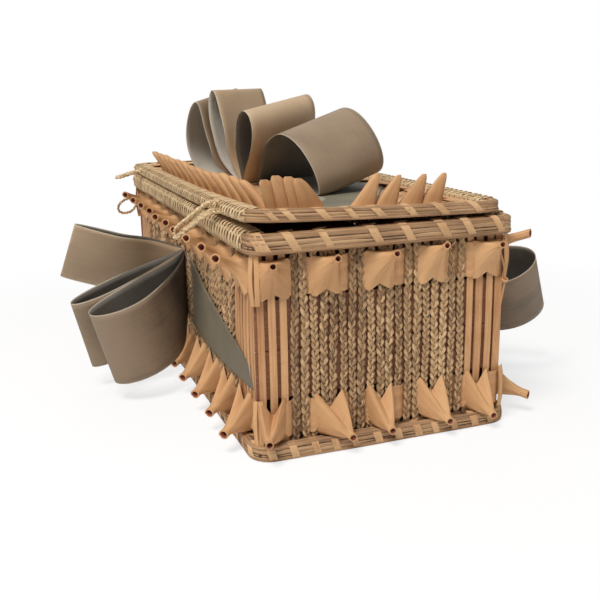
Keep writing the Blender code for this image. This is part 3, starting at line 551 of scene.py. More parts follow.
class Workpiece:
    """A mesh under way, with the flow and tone that its finish reads."""

    def __init__(self) -> None:
        """Start an empty mesh."""
        self.bm = bmesh.new()
        self.flow = self.bm.verts.layers.float_vector.new("flow")
        self.tone = self.bm.verts.layers.float.new("tone")
        self.tally = 0

    def added(self, mesh: bpy.types.Mesh) -> list[bmesh.types.BMVert]:
        """Copy a mesh in and return its vertices."""
        before = len(self.bm.verts)
        self.bm.from_mesh(mesh)
        self.bm.verts.ensure_lookup_table()
        return self.bm.verts[before:]

    def bend(self, blank: Blank, path: PathMap, length: float, size: tuple[float, float],
             steps: int, sides: int = 6, tone: float = 0.5, closed: bool = False,
             rolled: tuple[float, float] | None = None) -> None:
        """Bend a straight blank along a path.

        Args:
            blank: the kind of blank.
            path: gives the place of (length along, x, y) of the straight piece.
            length: its length.
            size: half sizes of its section.
            steps: steps along it.
            sides: sides of its section.
            tone: how light it is, 0 to 1.
            closed: whether its ends meet and are joined.
            rolled: real length and half width of a piece whose path sets its section.
        """
        self.tally += 1
        target = Workpiece() if closed else self
        ends = []
        for vert in target.added(BLANKS.get(blank, sides, steps, closed)):
            x, y, z = vert.co
            u, v, d = x * size[0], y * size[1], z * length
            if z < 1e-6 or z > 1 - 1e-6:
                ends.append(vert)
            grain = Vector((d, u, v))
            if rolled:
                grain = Vector((z * rolled[0], x * rolled[1], y * rolled[1]))
            vert[target.flow] = grain + Vector((self.tally * 0.173, 0.0, self.tally * 0.031))
            vert[target.tone] = tone
            vert.co = path(d, u, v)
        if closed:
            bmesh.ops.remove_doubles(target.bm, verts=ends, dist=0.02 * MM)
            ring = target.mesh("ring")
            self.added(ring)
            bpy.data.meshes.remove(ring)

    def shape(self, mesh: bpy.types.Mesh, path: Callable[[Vector], Vector], tone: float) -> None:
        """Copy a ready mesh that already holds its flow.

        Args:
            mesh: the mesh.
            path: gives the place of each of its points.
            tone: how light it is.
        """
        self.tally += 1
        for vert in self.added(mesh):
            vert.co = path(vert.co)
            vert[self.flow] = vert[self.flow] + Vector((self.tally * 0.173, 0, 0))
            vert[self.tone] = vert[self.tone] + tone - 0.5

    def mesh(self, name: str) -> bpy.types.Mesh:
        """The finished mesh alone."""
        made = bpy.data.meshes.new(name)
        self.bm.to_mesh(made)
        self.bm.free()
        return made

    def deliver(self, name: str, body: str, materials: Sequence[bpy.types.Material],
                replaced: Sequence[str] = (), warped: bool = False) -> bpy.types.Object:
        """Turn the mesh into a piece of the basket.

        Args:
            name: the piece's name.
            body: the CAD body that it rides on.
            materials: its finishes.
            replaced: the CAD nodes that it stands for.
            warped: whether it follows the lid's warp.

        Returns:
            The object.
        """
        if warped:
            for vert in self.bm.verts:
                vert.co = lid_warp(vert.co)
        bmesh.ops.recalc_face_normals(self.bm, faces=self.bm.faces)
        mesh = self.mesh(name)
        mesh.set_sharp_from_angle(angle=math.radians(50))
        for material in materials:
            mesh.materials.append(material)
        made = bpy.data.objects.new(name, mesh)
        bpy.context.scene.collection.objects.link(made)
        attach(made, body)
        if replaced:
            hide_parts(*replaced)
        LOG.info("%s: %d faces", name, len(mesh.polygons))
        return made


@dataclass
class Plait:
    """Three strands crossing over each other along a path."""
    wide: float = 4.7 * MM
    deep: float = 2.6 * MM
    period: float = 10.2 * MM
    steps_each: int = 10
    sides: int = 6
    fat: float = 0.225

    def strand(self, path: PathMap, index: int, lead: float) -> PathMap:
        """Path of one strand.

        Args:
            path: the path of the plait.
            index: which strand, 0 to 2.
            lead: where the crossings start, as a share of the period.

        Returns:
            The strand's path.
        """
        swing = self.wide * 0.29
        hump = self.deep * 0.26

        def follow(d: float, u: float, v: float) -> Vector:
            """Place a point of the straight strand."""
            slack = 0.04 * math.sin(d * 97.0 + lead * 31 + index)
            turn = TURN * (d / self.period + index / 3 + lead + slack)
            swell = 1 + 0.16 * math.sin(d * 263.0 + lead * 40 + index * 2.0) - 0.12 * math.cos(turn) ** 2
            across = swing * math.sin(turn)
            return path(d, across + u * swell, hump * math.sin(2 * turn) + v * swell)
        return follow

    def lay(self, work: Workpiece, path: PathMap, length: float, lead: float = 0.0,
            tone: float = 0.5) -> None:
        """Lay the plait into a workpiece.

        Args:
            work: the mesh under way.
            path: the path of (length along, across, deep).
            length: the plait's length.
            lead: where its crossings start.
            tone: how light it is.
        """
        steps = max(6, round(length / self.period * self.steps_each))
        for index in range(3):
            work.bend(Blank.ROUND, self.strand(path, index, lead), length,
                      (self.wide * self.fat, self.deep * 0.36), steps, self.sides,
                      tone + vary(index + lead * 7, -0.16, 0.16))


@dataclass
class Wall:
    """One wall: its lining splint, flat uprights and braided uprights."""
    name: str
    count: int
    run_half: float
    back: float
    flats: tuple[int, int]
    flat_pitch: float
    turn: float
    bulge: float
    runs: tuple[int, ...] = ()
    starts_over: bool = False

    def place(self, s: float, out: float, z: float) -> Vector:
        """Point on the wall: along it, out from its back plane, and up.

        Args:
            s: place along the wall.
            out: how far out, beside the wall's own swell at half height.
            z: height.

        Returns:
            The point.
        """
        swell = self.bulge * math.sin(math.pi * max(0.0, min(1.0, (z - WALL_FOOT) / (WALL_TOP - WALL_FOOT))))
        return Matrix.Rotation(self.turn, 3, 'Z') @ Vector((s, -self.back - out - swell, z))

    def edge(self, index: int) -> float:
        """Place along the wall where an upright's room starts."""
        first, last = self.flats
        if index <= first:
            return -self.run_half + index * self.flat_pitch
        if index >= self.count - last:
            return self.run_half - (self.count - index) * self.flat_pitch
        room = 2 * self.run_half - (first + last) * self.flat_pitch
        return -self.run_half + first * self.flat_pitch + room * (index - first) / (self.count - first - last)

    def middle(self, index: int) -> float:
        """Place of an upright along the wall."""
        return (self.edge(index) + self.edge(index + 1)) / 2

    def is_flat(self, index: int) -> bool:
        """Whether an upright is a flat splint."""
        return index < self.flats[0] or index >= self.count - self.flats[1]

    def squares(self) -> list[tuple[float, float]]:
        """Middle and width of each weft square that shows outside."""
        made, at, over = [], 0, self.starts_over
        for run in self.runs:
            first, last = self.edge(at), self.edge(at + run)
            if over:
                made.append(((first + last) / 2, last - first))
            at += run
            over = not over
        return made

    def weft_points(self, height: float) -> list[Vector]:
        """Path of a weft along this wall, out over some uprights and behind the others."""
        made, at, over = [], 0, self.starts_over
        for run in self.runs:
            out = BRAID_DEPTH + 0.75 * MM if over else -0.7 * MM
            for s in (self.edge(at) + 1.3 * MM, self.edge(at + run) - 1.3 * MM):
                made.append(self.place(s, out, height))
            at += run
            over = not over
        return made

    def build_splints(self, finishes: Finishes) -> None:
        """Flat uprights near the corners."""
        work = Workpiece()
        for index in (i for i in range(self.count) if self.is_flat(i)):
            middle = self.middle(index) + vary(index + self.back * 99, -0.25, 0.25) * MM
            lean = vary(index * 3.3, -0.5, 0.5) * MM
            bow = vary(index * 5.1, 0.0, 0.5) * MM

            def path(d: float, u: float, v: float) -> Vector:
                """Place a point of the upright."""
                share = d / (WALL_TOP - WALL_FOOT)
                swell = bow * math.sin(math.pi * share)
                return self.place(middle + u + lean * (share - 0.5), 0.7 * MM + v + swell, WALL_FOOT + d)

            half = vary(index * 7.7, 1.75, 2.2) * MM
            work.bend(Blank.FLAT, path, WALL_TOP - WALL_FOOT, (half, 0.4 * MM), 12, 3,
                      vary(index * 2.9, 0.35, 0.75))
        work.deliver(f"{self.name}_splints", "basket", [finishes.flat], [self.name])

    def build_braids(self, finishes: Finishes, plaits: Sequence[bpy.types.Mesh]) -> None:
        """Braided uprights between the flat ones."""
        work = Workpiece()
        for index in (i for i in range(self.count) if not self.is_flat(i)):
            seed = index + self.turn * 10
            middle = self.middle(index) + vary(seed, -0.25, 0.25) * MM
            lean = vary(seed * 1.7, -0.008, 0.008)
            hand = 1.0 if vary(seed * 3.9) > 0 else -1.0

            def path(spot: Vector) -> Vector:
                """Place a point of the straight plait on the wall."""
                wander = 0.4 * MM * math.sin(spot.z * 95.0 + seed * 2.0)
                return self.place(middle + spot.x * hand + (spot.z - 56 * MM) * lean + wander,
                                  1.15 * MM - spot.y, WALL_FOOT + spot.z)

            work.shape(plaits[index * 5 % len(plaits)], path, vary(seed * 2.1, 0.3, 0.7))
        work.deliver(f"{self.name}_braids", "basket", [finishes.grass], [self.name])

    def build_lining(self, finishes: Finishes) -> None:
        """Wide splint behind the uprights, between the two bands."""
        work = Workpiece()
        for row, (low, high) in enumerate(((31.8 * MM, 57.6 * MM), (58.2 * MM, 84.0 * MM))):
            def path(d: float, u: float, v: float) -> Vector:
                """Place a point of the lining."""
                return self.place(d - self.run_half, -0.45 * MM + v, (low + high) / 2 + u)

            work.bend(Blank.FLAT, path, 2 * self.run_half, ((high - low) / 2, 0.3 * MM), 24, 4,
                      0.45 + 0.1 * row)
        work.deliver(f"{self.name}_lining", "basket", [finishes.lining], [self.name])


END_RUNS = (3, 2, 4, 2, 4, 2, 3, 2, 4)
SIDE_RUNS = (2, 4, 2, 4, 2, 4, 2, 4, 2, 3, 2, 3, 2, 4, 2, 4, 2, 4, 2, 4, 2)
WALLS = (
    Wall("near_wall", 26, END_HALF, BACK_Y, (3, 4), 6.0 * MM, 0.0, 1.0 * MM, END_RUNS, True),
    Wall("right_wall", 60, SIDE_HALF, BACK_X, (7, 7), 5.4 * MM, math.pi / 2, 2.2 * MM, SIDE_RUNS),
    Wall("far_wall", 26, END_HALF, BACK_Y, (4, 3), 6.0 * MM, math.pi, 1.0 * MM, END_RUNS, True),
    Wall("left_wall", 60, SIDE_HALF, BACK_X, (7, 7), 5.4 * MM, 3 * math.pi / 2, 2.2 * MM, SIDE_RUNS),
)


@dataclass
class WallSet:
    """The four walls."""
    height: float = WALL_TOP - WALL_FOOT
    plait: Plait = field(default_factory=Plait)

    def plait_shapes(self) -> list[bpy.types.Mesh]:
        """Plaits along z, no two with the same crossings or width."""
        shapes = []
        for lead, wide, period in ((0.0, 4.7, 12.2), (0.12, 4.4, 11.2), (0.31, 4.9, 13.4), (0.44, 4.5, 12.6),
                                   (0.57, 4.2, 11.8), (0.73, 4.8, 12.9)):
            work = Workpiece()
            plait = Plait(wide * MM, self.plait.deep, period * MM)
            plait.lay(work, lambda d, u, v: Vector((u, -v, d)), self.height, lead)
            shapes.append(work.mesh("upright_plait"))
        return shapes

    def build(self, finishes: Finishes) -> None:
        """Build the walls' pieces."""
        shapes = self.plait_shapes()
        for wall in WALLS:
            wall.build_lining(finishes)
            wall.build_splints(finishes)
            wall.build_braids(finishes, shapes)


class CurlStyle(Enum):
    """How the curls of a band stand."""
    TOP = "top"
    BOTTOM = "bottom"


NEAR_TOP = ((-62.3, 20.4, -65.3, 8.6), (-34.0, 18.4, -31.5, 9.6), (-4.3, 18.2, 0.9, 9.2),
            (26.8, 17.6, 29.5, 11.0), (59.8, 20.2, 62.9, 8.8))
NEAR_BOTTOM = ((-64.2, 16.4, -70.4, -7.0), (-32.8, 18.2, -24.6, -10.6), (-3.2, 15.6, -1.8, -10.7),
               (27.2, 16.6, 32.8, -10.9), (56.0, 15.2, 60.2, -11.9))


@dataclass
class Band:
    """A wide weft splint woven round the basket, curled out into hollow points."""
    name: str
    low: float
    style: CurlStyle
    near: tuple[tuple[float, float, float, float], ...]
    corner_tip: float
    width: float = 22 * MM
    sides: int = 36
    steps: int = 14

    @property
    def middle(self) -> float:
        """Height of the band's middle."""
        return self.low + self.width / 2

    def feet(self, wall: Wall) -> list[tuple[float, float, float, float]]:
        """Middle, width, tip along and tip rise of each curl of a wall, in metres.

        The near wall's are the photograph's; the others stand on the weft's squares.

        Args:
            wall: the wall.

        Returns:
            One row for each curl.
        """
        if wall is WALLS[0]:
            return [tuple(value * MM for value in row) for row in self.near]
        nearward = -9.0 * math.sin(wall.turn)
        rise = 9.6 if self.style is CurlStyle.TOP else -9.5
        rows = []
        for number, (middle, wide) in enumerate(wall.squares()):
            wobble = vary(number * 3.7 + wall.turn * 5 + self.low * 900)
            rows.append((middle, wide, middle + (nearward + 1.6 * wobble) * MM, (rise + 0.6 * wobble) * MM))
        if wall is WALLS[1]:
            rows[0] = (*rows[0][:2], self.corner_tip, rise * MM)
        return rows

    def build_weft(self, work: Workpiece) -> None:
        """The woven splint itself, cut narrow where its curls stand out of it."""
        corners = [p for wall in WALLS for p in wall.weft_points(self.middle)]
        route = Route(corners, 1.6 * MM, closed=True, soften=2)
        spots = [(wall.place(middle, BRAID_DEPTH, self.middle), wide / 2)
                 for wall in WALLS for middle, wide, _, _ in self.feet(wall)]
        narrow = 0.36 if self.style is CurlStyle.BOTTOM else 0.62

        def path(d: float, u: float, v: float) -> Vector:
            """Place a point of the weft."""
            spot = route.at(d, v, 0.0)
            under = min((spot - middle).length - half for middle, half in spots)
            share = ease((under + 3.2 * MM) / (2.6 * MM))
            return spot + UP * u * (narrow + (0.86 - narrow) * share)

        work.bend(Blank.FLAT, path, route.length, (self.width / 2, 0.3 * MM), len(route.points), 2,
                  0.5, closed=True)

    def outline(self, angle: float, half: float) -> tuple[float, float]:
        """Foot of a curl on its square.

        Args:
            angle: angle round the foot.
            half: half the square's width.

        Returns:
            Places along and up from the square's middle.
        """
        c, s = math.cos(angle), math.sin(angle)
        power = 7.0
        scale = (abs(c) ** power + abs(s) ** power) ** (-1 / power)
        x, z = half * scale * c, self.width / 2 * scale * s
        side = abs(x) / half
        if self.style is CurlStyle.TOP:
            if s < 0:
                z += 3.4 * MM * max(0.0, 1 - side / 0.62)
            else:
                z -= 1.6 * MM * (1 - side ** 2)
            return x, z
        if s > 0:
            z += 2.6 * MM * side ** 2 - 8.0 * MM * max(0.0, 1 - side / 0.72)
        else:
            x *= 1 + 0.22 * s * scale
        return x, z

    def add_curl(self, work: Workpiece, wall: Wall, foot: tuple[float, float, float, float],
                 seed: float) -> None:
        """One curl, from its square out to its hollow tip.

        Args:
            work: the mesh under way.
            wall: its wall.
            foot: the square's middle and width, and the tip's place along and rise.
            seed: names the curl for its small differences.
        """
        middle, wide, along, rise = foot
        half = wide / 2 - 0.2 * MM
        skin = BRAID_DEPTH + 0.9 * MM
        top = self.style is CurlStyle.TOP
        curve, wane = (1.5, 1.25) if top else (1.05, 0.92)
        reach = (10.2 if top else 12.6) if wall is WALLS[0] else 15.5 + vary(seed)
        radius = (1.75 if top else 1.95) * MM
        if wall is not WALLS[0]:
            radius = 2.25 * MM
            curve, wane = (1.2, 2.3) if top else (1.05, 1.1)
        if along == self.corner_tip:
            reach = 21.0
        facing = -0.9 * math.sin(wall.turn)

        def path(d: float, u: float, v: float) -> Vector:
            """Place a point of the curl; u and v give its angle, d its share."""
            share = max(0.0, min(1.0, d))
            ring = math.hypot(u, v)
            angle = math.atan2(v, u) % TURN
            x0, z0 = self.outline(angle, half)
            roll = radius * (1 + 0.3 * ((angle / TURN + 0.45) % 1.0)) * ring
            wide_left = 0.0 if ring < 0.98 else (1 - min(1.0, share / 0.84)) ** wane
            shrink = 1 - wide_left
            go = min(1.0, 0.12 + 0.88 * share) - 0.12 * (1 - share) ** 2
            beside = roll * math.cos(angle) * shrink
            s = x0 * wide_left + beside * math.cos(facing) + (along - middle) * go
            z = z0 * wide_left + roll * math.sin(angle) * shrink + rise * go
            tuck = 1.3 * MM * max(0.0, abs(x0) / half - 0.75) * 4 * (1 - share) ** 6
            out = skin + reach * MM * share ** curve - tuck - beside * math.sin(facing) * share
            return wall.place(middle + s, out, self.middle + z)

        work.bend(Blank.CURL, path, 1.0, (1.0, 1.0), self.steps, self.sides, vary(seed, 0.35, 0.75),
                  rolled=(26 * MM, 8 * MM))

    def build(self, finishes: Finishes) -> None:
        """Build the weft and its curls."""
        work = Workpiece()
        self.build_weft(work)
        for wall in WALLS:
            for number, foot in enumerate(self.feet(wall)):
                self.add_curl(work, wall, foot, number * 1.9 + wall.turn * 3)
        work.deliver(self.name + "_weft", "basket", [finishes.ash, finishes.curl_inside],
                     [self.name])


@dataclass
class CornerBinders:
    """Narrow splints that hold the weft at each corner."""
    half: float = 1.2 * MM

    def build(self, finishes: Finishes) -> None:
        """Two narrow uprights at each corner over both bands."""
        work = Workpiece()
        for sign_x in (-1, 1):
            for sign_y in (-1, 1):
                for step, turn in enumerate((0.15, 0.62)):
                    out = Vector((sign_x * math.sin(turn * math.pi / 2),
                                  sign_y * math.cos(turn * math.pi / 2), 0.0))
                    side = Vector((-out.y, out.x, 0.0))
                    foot = Vector((sign_x * 70.0 * MM, sign_y * 159.4 * MM, 0.0)) + out * 2.6 * MM
                    for low, high in ((8.0 * MM, 32.6 * MM), (82.6 * MM, 108.4 * MM)):
                        def path(d: float, u: float, v: float) -> Vector:
                            """Place a point of the binder."""
                            share = d / (high - low)
                            swell = (0.6 + 1.3 * math.sin(math.pi * share)) * MM
                            return foot + side * u + out * (swell + v) + UP * (low + d)

                        work.bend(Blank.FLAT, path, high - low, (self.half, 0.3 * MM), 12, 1,
                                  0.6 + 0.1 * step)
        work.deliver("corner_binders", "basket", [finishes.ash])


@dataclass
class Hoop:
    """A bundle of splints and grass laid round a rectangle, with the lashing that binds it."""
    name: str
    body: str
    half_x: float
    half_y: float
    corner: float
    low: float
    high: float
    deep: float
    strands: tuple[tuple[float, float, float, float], ...]
    shift: float = 0.0
    warped: bool = False
    slim: float = 1.0

    def __post_init__(self) -> None:
        """Lay out the loop along the bundle's outer face."""
        points = []
        for sx, sy, start in ((1, -1, -90), (1, 1, 0), (-1, 1, 90), (-1, -1, 180)):
            for k in range(9):
                turn = math.radians(start + 90 * k / 8)
                points.append(Vector((
                    sx * (self.half_x - self.corner) + self.corner * math.cos(turn) + self.shift,
                    sy * (self.half_y - self.corner) + self.corner * math.sin(turn), 0.0)))
        self.loop = Route(points, 3.0 * MM, closed=True)

    def lowered(self, z: float) -> float:
        """A height on the bundle, brought down where the real bundle is slimmer."""
        return self.low + (z - self.low) * self.slim

    def add_end_wraps(self, work: Workpiece, places: Sequence[float], slant: float) -> None:
        """Turns of flat lashing splint over both short ends.

        Args:
            work: the mesh under way.
            places: their places along X, in millimetres.
            slant: how far each top is ahead of its bottom.
        """
        for number, x in enumerate(places):
            for sign in (-1, 1):
                at = self.loop.nearest(Vector((-sign * x * MM + self.shift, sign * self.half_y, 0.0)))
                self.add_wrap(work, at, vary(number + sign, 4.0, 5.0) * MM, slant,
                              vary(number * 2.3 + sign, 0.45, 0.75))

    def build_bundle(self, finish: bpy.types.Material, slot: str, replaced: Sequence[str] = ()) -> None:
        """The strands of the bundle."""
        work = Workpiece()
        for index, (out, z, half_out, half_up) in enumerate(self.strands):
            def path(d: float, u: float, v: float) -> Vector:
                """Place a point of the strand."""
                wave = math.sin(TURN * d / (61 * MM) + index * 2.1) * 0.16 * MM
                drift = math.sin(TURN * d / self.loop.length * (3 + index % 3) + index) * 0.22 * MM
                swell = 1 + 0.12 * math.sin(TURN * 9 * d / self.loop.length + index * 1.3)
                return self.loop.at(d, out + u * swell + wave, self.lowered(z + v + drift))

            steps = len(self.loop.points)
            work.bend(Blank.ROUND, path, self.loop.length, (half_out, half_up), steps, 8,
                      vary(index * 4.4, 0.35, 0.65), closed=True)
        work.deliver(self.name + "_bundle", self.body, [finish], replaced, self.warped)

    def around(self, turn: float, pad: float) -> tuple[float, float]:
        """Place on a turn round the bundle.

        Args:
            turn: angle round it, 0 outwards, a quarter up.
            pad: how far off it.

        Returns:
            Places out and up from the loop.
        """
        c, s = math.cos(turn), math.sin(turn)
        scale = (abs(c) ** 4 + abs(s) ** 4) ** -0.25
        half_up = (self.high - self.low) / 2
        out = -self.deep / 2 + (self.deep / 2 + pad) * c * scale
        return out, (self.low + self.high) / 2 + (half_up + pad) * s * scale

    def add_wrap(self, work: Workpiece, at: float, wide: float, slant: float, tone: float) -> None:
        """One turn of flat lashing splint.

        Args:
            work: the mesh under way.
            at: its place along the loop.
            wide: its width.
            slant: how far its top is ahead of its bottom.
            tone: how light it is.
        """
        round_it = 2 * (self.deep + self.high - self.low)

        def path(d: float, u: float, v: float) -> Vector:
            """Place a point of the turn."""
            turn = TURN * d / round_it
            out, z = self.around(turn, 0.55 * MM + v)
            lean = slant * math.sin(turn) * (1.0 if math.cos(turn) > 0 else -0.2)
            return self.loop.at(at + u + lean, out, self.lowered(z))

        work.bend(Blank.FLAT, path, round_it, (wide / 2, 0.2 * MM), 20, 1, tone, closed=True)

    def add_whip(self, work: Workpiece, start: float, stop: float, starts: int = 3,
                 pitch: float = 15.6 * MM, wide: float = 2.7 * MM) -> None:
        """Crossed turns of grass cord along part of the loop, as many one way as the other.

        Args:
            work: the mesh under way.
            start: where they start along the loop.
            stop: where they end.
            starts: how many cords run each way.
            pitch: length of one turn.
            wide: width of the cord.
        """
        round_it = 2 * (self.deep + self.high - self.low)
        turns = (stop - start) / pitch
        for number in range(2 * starts):
            hand, lead = (1 if number % 2 else -1), TURN * (number // 2) / starts

            def path(d: float, u: float, v: float) -> Vector:
                """Place a point of the cord."""
                turn = TURN * d / round_it
                over = 0.4 * MM * math.cos(starts * turn) * hand
                out, z = self.around(hand * turn + lead, 0.6 * MM + over + v)
                wander = 0.3 * MM * math.sin(turn * 0.37 + number)
                return self.loop.at(start + pitch * d / round_it + wander + u, out, self.lowered(z))

            work.bend(Blank.ROUND, path, round_it * turns, (wide / 2, 0.5 * MM), round(turns * 20), 5,
                      vary(number * 5.3, 0.35, 0.7))


@dataclass
class Mat:
    """Plain weave of flat splints."""
    name: str
    body: str
    replaced: str
    half_x: float
    half_y: float
    z: float
    lengthwise: int
    crosswise: int
    shift: float = 0.0
    warped: bool = False

    def build(self, finish: bpy.types.Material) -> None:
        """Weave the strips over and under each other."""
        work = Workpiece()
        pitch_x, pitch_y = 2 * self.half_x / self.lengthwise, 2 * self.half_y / self.crosswise
        lift = 0.34 * MM
        for i in range(self.lengthwise):
            middle = -self.half_x + (i + 0.5) * pitch_x + self.shift

            def path(d: float, u: float, v: float) -> Vector:
                """Place a point of a lengthwise strip."""
                wave = lift * math.cos(math.pi * (d / pitch_y - 0.5 + i))
                return Vector((middle + u, d - self.half_y, self.z + wave + v))

            work.bend(Blank.FLAT, path, 2 * self.half_y, (pitch_x / 2 - 0.3 * MM, 0.14 * MM),
                      3 * self.crosswise, 1, vary(i * 1.3, 0.25, 0.7))
        for j in range(self.crosswise):
            middle = -self.half_y + (j + 0.5) * pitch_y

            def path(d: float, u: float, v: float) -> Vector:
                """Place a point of a crosswise strip."""
                wave = -lift * math.cos(math.pi * (d / pitch_x - 0.5 + j))
                return Vector((d - self.half_x + self.shift, middle + u, self.z + wave + v))

            work.bend(Blank.FLAT, path, 2 * self.half_x, (pitch_y / 2 - 0.3 * MM, 0.14 * MM),
                      3 * self.lengthwise, 1, vary(j * 1.7 + 9, 0.25, 0.7))
        work.deliver(self.name, self.body, [finish], [self.replaced], self.warped)


def bundle_rows(low: float, high: float, count: int, out: float) -> list[tuple[float, float, float, float]]:
    """Strands stacked on the outer face of a bundle.

    Args:
        low: lowest edge.
        high: highest edge.
        count: how many strands.
        out: place of their middles from the outer face.

    Returns:
        Place and half sizes of each strand.
    """
    half = (high - low) / count / 2
    return [(out - 0.25 * MM * (k % 2), low + (2 * k + 1) * half, 1.0 * MM, half * 1.32) for k in range(count)]


@dataclass
class Rims:
    """The foot's hoop, the body's two rims and their lashing."""
    foot: Hoop = field(default_factory=lambda: Hoop(
        "base_hoop", "basket", 75.6 * MM, 166.6 * MM, 12 * MM, 0.6 * MM, 7.6 * MM, 6.4 * MM,
        (*bundle_rows(0.3 * MM, 8.1 * MM, 4, -0.55 * MM), (-2.4 * MM, 7.5 * MM, 1.3 * MM, 0.8 * MM),
         (-4.3 * MM, 7.4 * MM, 1.1 * MM, 0.8 * MM), (-2.6 * MM, 0.8 * MM, 1.2 * MM, 0.75 * MM),
         (-4.8 * MM, 0.8 * MM, 1.2 * MM, 0.75 * MM))))
    rim: Hoop = field(default_factory=lambda: Hoop(
        "body_rim", "basket", 75.1 * MM, 166.1 * MM, 8 * MM, 108.6 * MM, 118.2 * MM, 11.0 * MM,
        (*bundle_rows(108.8 * MM, 117.4 * MM, 4, -0.5 * MM), (-1.4 * MM, 117.5 * MM, 1.2 * MM, 0.8 * MM),
         (-3.3 * MM, 117.8 * MM, 1.4 * MM, 0.65 * MM), (-5.4 * MM, 117.8 * MM, 1.4 * MM, 0.65 * MM))))
    inner: Hoop = field(default_factory=lambda: Hoop(
        "body_rim_inner", "basket", 67.5 * MM, 158.5 * MM, 2 * MM, 108.8 * MM, 118 * MM, 3.2 * MM,
        ((-1.6 * MM, 113.4 * MM, 1.5 * MM, 4.5 * MM),)))
    near_wraps: tuple[float, ...] = (-71.9, -67.8, -53.6, -33.7, -9.3, 9.3, 30.7, 45.6, 62.7)

    def build(self, finishes: Finishes) -> None:
        """Build the hoops and their lashing."""
        self.foot.build_bundle(finishes.rim_splint, "sweetgrass_braid")
        self.rim.build_bundle(finishes.rim_splint, "sweetgrass_braid")
        self.inner.build_bundle(finishes.flat, "ash_splint", ["body_rim_inner"])
        for name in ("base_hoop", "body_rim"):
            dress_core(name, finishes)
        work = Workpiece()
        count = round(self.foot.loop.length / (11.8 * MM))
        for number in range(count):
            at = self.foot.loop.length * number / count + vary(number, -1.2, 1.2) * MM
            self.foot.add_wrap(work, at, vary(number * 3.1, 3.6, 4.6) * MM, -1.4 * MM,
                               vary(number * 2.3, 0.4, 0.75))
        work.deliver("base_hoop_lashing", "basket", [finishes.lash])
        work = Workpiece()
        self.rim.add_end_wraps(work, self.near_wraps, -3.6 * MM)
        work.deliver("body_rim_wraps", "basket", [finishes.lash], ["body_rim_lashing"])
        work = Workpiece()
        for sign in (1, -1):
            start = self.rim.loop.nearest(Vector((sign * 75.1 * MM, -sign * 156 * MM, 0)))
            stop = self.rim.loop.nearest(Vector((sign * 75.1 * MM, sign * 156 * MM, 0)))
            self.rim.add_whip(work, start, stop)
        work.deliver("body_rim_whipping", "basket", [finishes.pale_grass])


def dress_core(name: str, finishes: Finishes) -> None:
    """Give a CAD bundle that stays under its strands the near-black packing finish, which paints the shade
    between the strands.
    """
    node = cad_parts[name]
    node.data.materials.clear()
    node.data.materials.append(finishes.core)


@dataclass(frozen=True)
class FinForm:
    """How a folded point stands; lengths along the row run back from its tip."""
    heel: float
    toe: float
    top: float
    height: float
    lean: float
    turned: float
    thick: tuple[float, float]
    curve: float


PLANK = FinForm(15 * MM, 4.5 * MM, 6.0 * MM, 15.6 * MM, 7.4 * MM, 0.2, (3.2 * MM, 2.6 * MM), 1.2)
SHARK = FinForm(17 * MM, 2.8 * MM, 3.4 * MM, 17.0 * MM, 0.6 * MM, 0.1, (2.4 * MM, 1.1 * MM), 0.95)
FOLDED = FinForm(21 * MM, 5.0 * MM, 6.8 * MM, 17.4 * MM, 1.5 * MM, 0.35, (1.9 * MM, 1.2 * MM), 1.25)
PRESSED = FinForm(17 * MM, 3 * MM, 9 * MM, 2.2 * MM, -11 * MM, 0.0, (2.6 * MM, 1.8 * MM), 1.0)


@dataclass
class FinRow:
    """A row of folded points on the lid, standing or pressed flat."""
    name: str
    half_run: float
    out: float
    turn: float
    tips: Sequence[tuple[float, float, FinForm]]
    floor: float = 123.9 * MM
    strip: float = 9.0 * MM

    def place(self, s: float, out: float, z: float) -> Vector:
        """Point of the row: along it, out from the lid's middle, and up."""
        spun = Matrix.Rotation(self.turn, 3, 'Z') @ Vector((s, -out, z))
        return spun + Vector((LID_SHIFT, 0, 0))

    def build(self, finishes: Finishes) -> None:
        """Build the strip and its fins."""
        work = Workpiece()

        def strip(d: float, u: float, v: float) -> Vector:
            """Place a point of the strip under the fins."""
            return self.place(d - self.half_run, self.out - self.strip / 2 + u, self.floor + 0.3 * MM + v)

        work.bend(Blank.FLAT, strip, 2 * self.half_run, (self.strip / 2, 0.25 * MM), 40, 1, 0.5)
        for number, (tip, way, form) in enumerate(self.tips):
            self.add_fin(work, tip * MM, way, form, number * 2.7 + self.turn * 4)
        work.deliver(self.name + "_fins", "lid", [finishes.ash], [self.name], True)

    def add_fin(self, work: Workpiece, tip: float, way: float, form: FinForm, seed: float) -> None:
        """One folded point, its toe steep and its heel sloped.

        Args:
            work: the mesh under way.
            tip: place of its tip along the row.
            way: 1 where its toe is the far end along the row, -1 where it is the near one.
            form: how it stands.
            seed: names the point for its small differences.
        """
        tall = form.height * vary(seed, 0.93, 1.06)

        def path(d: float, u: float, v: float) -> Vector:
            """Place a point of the fin; u and v give its angle, d its share."""
            share = max(0.0, min(1.0, d))
            angle = math.atan2(v, u)
            c, s = math.cos(angle), math.sin(angle)
            box = (abs(c) ** 4 + abs(s) ** 4) ** -0.25 * min(1.0, math.hypot(u, v))
            heel = -form.heel + (form.heel - form.top) * share ** form.curve
            toe = -form.toe * (1 - share)
            cap = 0.4 + 0.6 * math.sqrt(max(0.0, 1 - (max(0.0, share - 0.8) / 0.21) ** 2))
            along = (heel + toe) / 2 + (toe - heel) / 2 * cap * box * c
            thick = (form.thick[0] + (form.thick[1] - form.thick[0]) * share ** 0.7) * cap
            across = thick * (1 - 0.5 * abs(c) ** 3) * box * s
            out = self.out - self.strip / 2 + form.lean * share ** 1.2 + form.turned * (along + form.heel / 2)
            return self.place(tip + way * along, out + across, self.floor + 0.3 * MM + tall * share)

        work.bend(Blank.ROUND, path, 1.0, (1.0, 1.0), 12, 18, vary(seed, 0.4, 0.78),
                  rolled=(20 * MM, 7 * MM))


